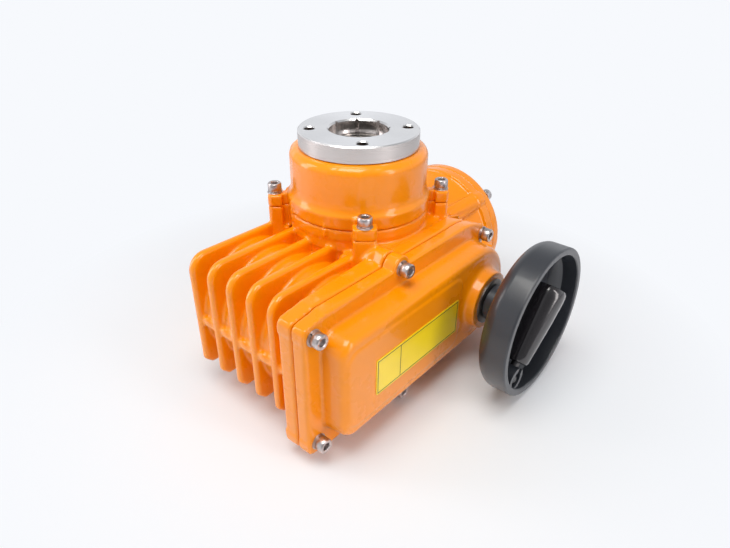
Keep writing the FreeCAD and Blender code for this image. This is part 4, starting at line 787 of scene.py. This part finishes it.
def floor():
    """A sheet of pale paper under the object, which takes its shadow and fades into the surround."""
    mesh = bpy.data.meshes.new("floor")
    size = 6.0
    z = CAD_BOX[0][2]
    mesh.from_pydata([(-size, -size, z), (size, -size, z), (size, size, z), (-size, size, z)], [],
                     [(0, 1, 2, 3)])
    plane = bpy.data.objects.new("floor", mesh)
    bpy.context.collection.objects.link(plane)
    g = material("floor_paper")
    g.set(Roughness=0.6, Specular_IOR_Level=0.2)
    seen = g.add("ShaderNodeLightPath").outputs["Is Camera Ray"]
    g.into("Base Color", g.ramp(seen, [(0.0, srgb(242, 244, 249)), (1.0, srgb(224, 227, 231))]))
    glow = g.add("ShaderNodeEmission")
    glow.inputs["Color"].default_value = WHITE
    mix = g.add("ShaderNodeMixShader")
    g.link(fade_to_white(g, 0.21, 0.36), mix.inputs["Fac"])
    g.link(g.shader.outputs["BSDF"], mix.inputs[1])
    g.link(glow.outputs["Emission"], mix.inputs[2])
    g.link(mix.outputs["Shader"], g.tree.nodes["Material Output"].inputs["Surface"])
    plane.data.materials.append(g.owner)


def surround():
    """The world: white behind the object and in its reflections, a gentler light on it."""
    g = Graph(bpy.data.worlds.new("world"), "Background")
    bpy.context.scene.world = g.owner
    g.set(Color=WHITE)
    path = g.add("ShaderNodeLightPath").outputs
    seen = g.maths("MAXIMUM", path["Is Camera Ray"], path["Is Glossy Ray"])
    seen = g.maths("MAXIMUM", seen, path["Is Transmission Ray"])
    way = g.add("ShaderNodeTexCoord").outputs["Generated"]
    overhead = g.levels(g.split(way)["Z"], 1.0, 0.45, 0.25, 0.75)
    # the front of the studio is unlit, so turned metal and gloss show one dark upright band
    facing = g.add("ShaderNodeVectorMath", operation="DOT_PRODUCT")
    facing.inputs[1].default_value = (0.65, -0.76, 0.0)
    g.link(way, facing.inputs[0])
    front = g.levels(facing.outputs["Value"], 1.0, 0.34, 0.66, 0.86)
    studio = g.maths("MULTIPLY", overhead, front)
    ray = g.add("ShaderNodeMix")
    ray.inputs["B"].default_value = 1.0
    g.link(path["Is Camera Ray"], ray.inputs["Factor"])
    g.link(studio, ray.inputs["A"])
    level = g.add("ShaderNodeMapRange")
    level.inputs["To Min"].default_value = 0.37
    g.link(seen, level.inputs["Value"])
    g.link(ray.outputs["Result"], level.inputs["To Max"])
    g.into("Strength", level.outputs["Result"])


def area_light(name, place, size, watts, tint):
    """A soft rectangular lamp that shines on the object's middle."""
    lamp = bpy.data.lights.new(name, "AREA")
    lamp.shape = "RECTANGLE"
    lamp.size, lamp.size_y = size
    lamp.energy = watts
    lamp.color = tint
    thing = bpy.data.objects.new(name, lamp)
    thing.location = place
    aim = Vector((0.0, 0.0, -0.1)) - Vector(place)
    thing.rotation_euler = aim.to_track_quat("-Z", "Y").to_euler()
    bpy.context.collection.objects.link(thing)


def lights():
    """A wide soft key from above the front, and a tall narrow fill on each side."""
    area_light("key", (0.10, -0.30, 0.85), (0.6, 0.6), 8.4, (1.0, 0.985, 0.94))
    area_light("left_fill", (-0.7, -0.55, 0.25), (0.25, 0.9), 3.5, (1.0, 0.92, 0.90))
    area_light("right_fill", (0.9, 0.05, 0.30), (0.2, 0.8), 3.0, (1.0, 0.94, 0.92))


def camera():
    """The photograph's viewpoint, solved from the flange, lugs and cover."""
    azimuth, elevation, roll = (math.radians(angle) for angle in (40.49, 30.96, 0.49))
    place = (0.2666, -0.3042, 0.1221)
    focal_pixels, image_width = 581.0, 730.0
    back = Vector((math.sin(azimuth) * math.cos(elevation), -math.cos(azimuth) * math.cos(elevation),
                   math.sin(elevation)))
    right = Vector((math.cos(azimuth), math.sin(azimuth), 0.0))
    turn = Matrix((right, back.cross(right), back)).transposed().to_4x4()
    data = bpy.data.cameras.new("camera")
    data.sensor_width = 36.0
    data.sensor_fit = "HORIZONTAL"
    data.lens = data.sensor_width * focal_pixels / image_width
    data.clip_start = 0.01
    thing = bpy.data.objects.new("camera", data)
    thing.matrix_world = Matrix.Translation(place) @ turn @ Matrix.Rotation(roll, 4, "Z")
    bpy.context.collection.objects.link(thing)
    bpy.context.scene.camera = thing


dress_nodes()
for node in frame["nodes"].values():
    smooth_by_angle(node)
castings()
screws()
eased_flange()
dished_wheel()
handle_grip()
plate_lines()
floor()
surround()
lights()
camera()
bpy.context.scene.view_settings.view_transform = "Standard"
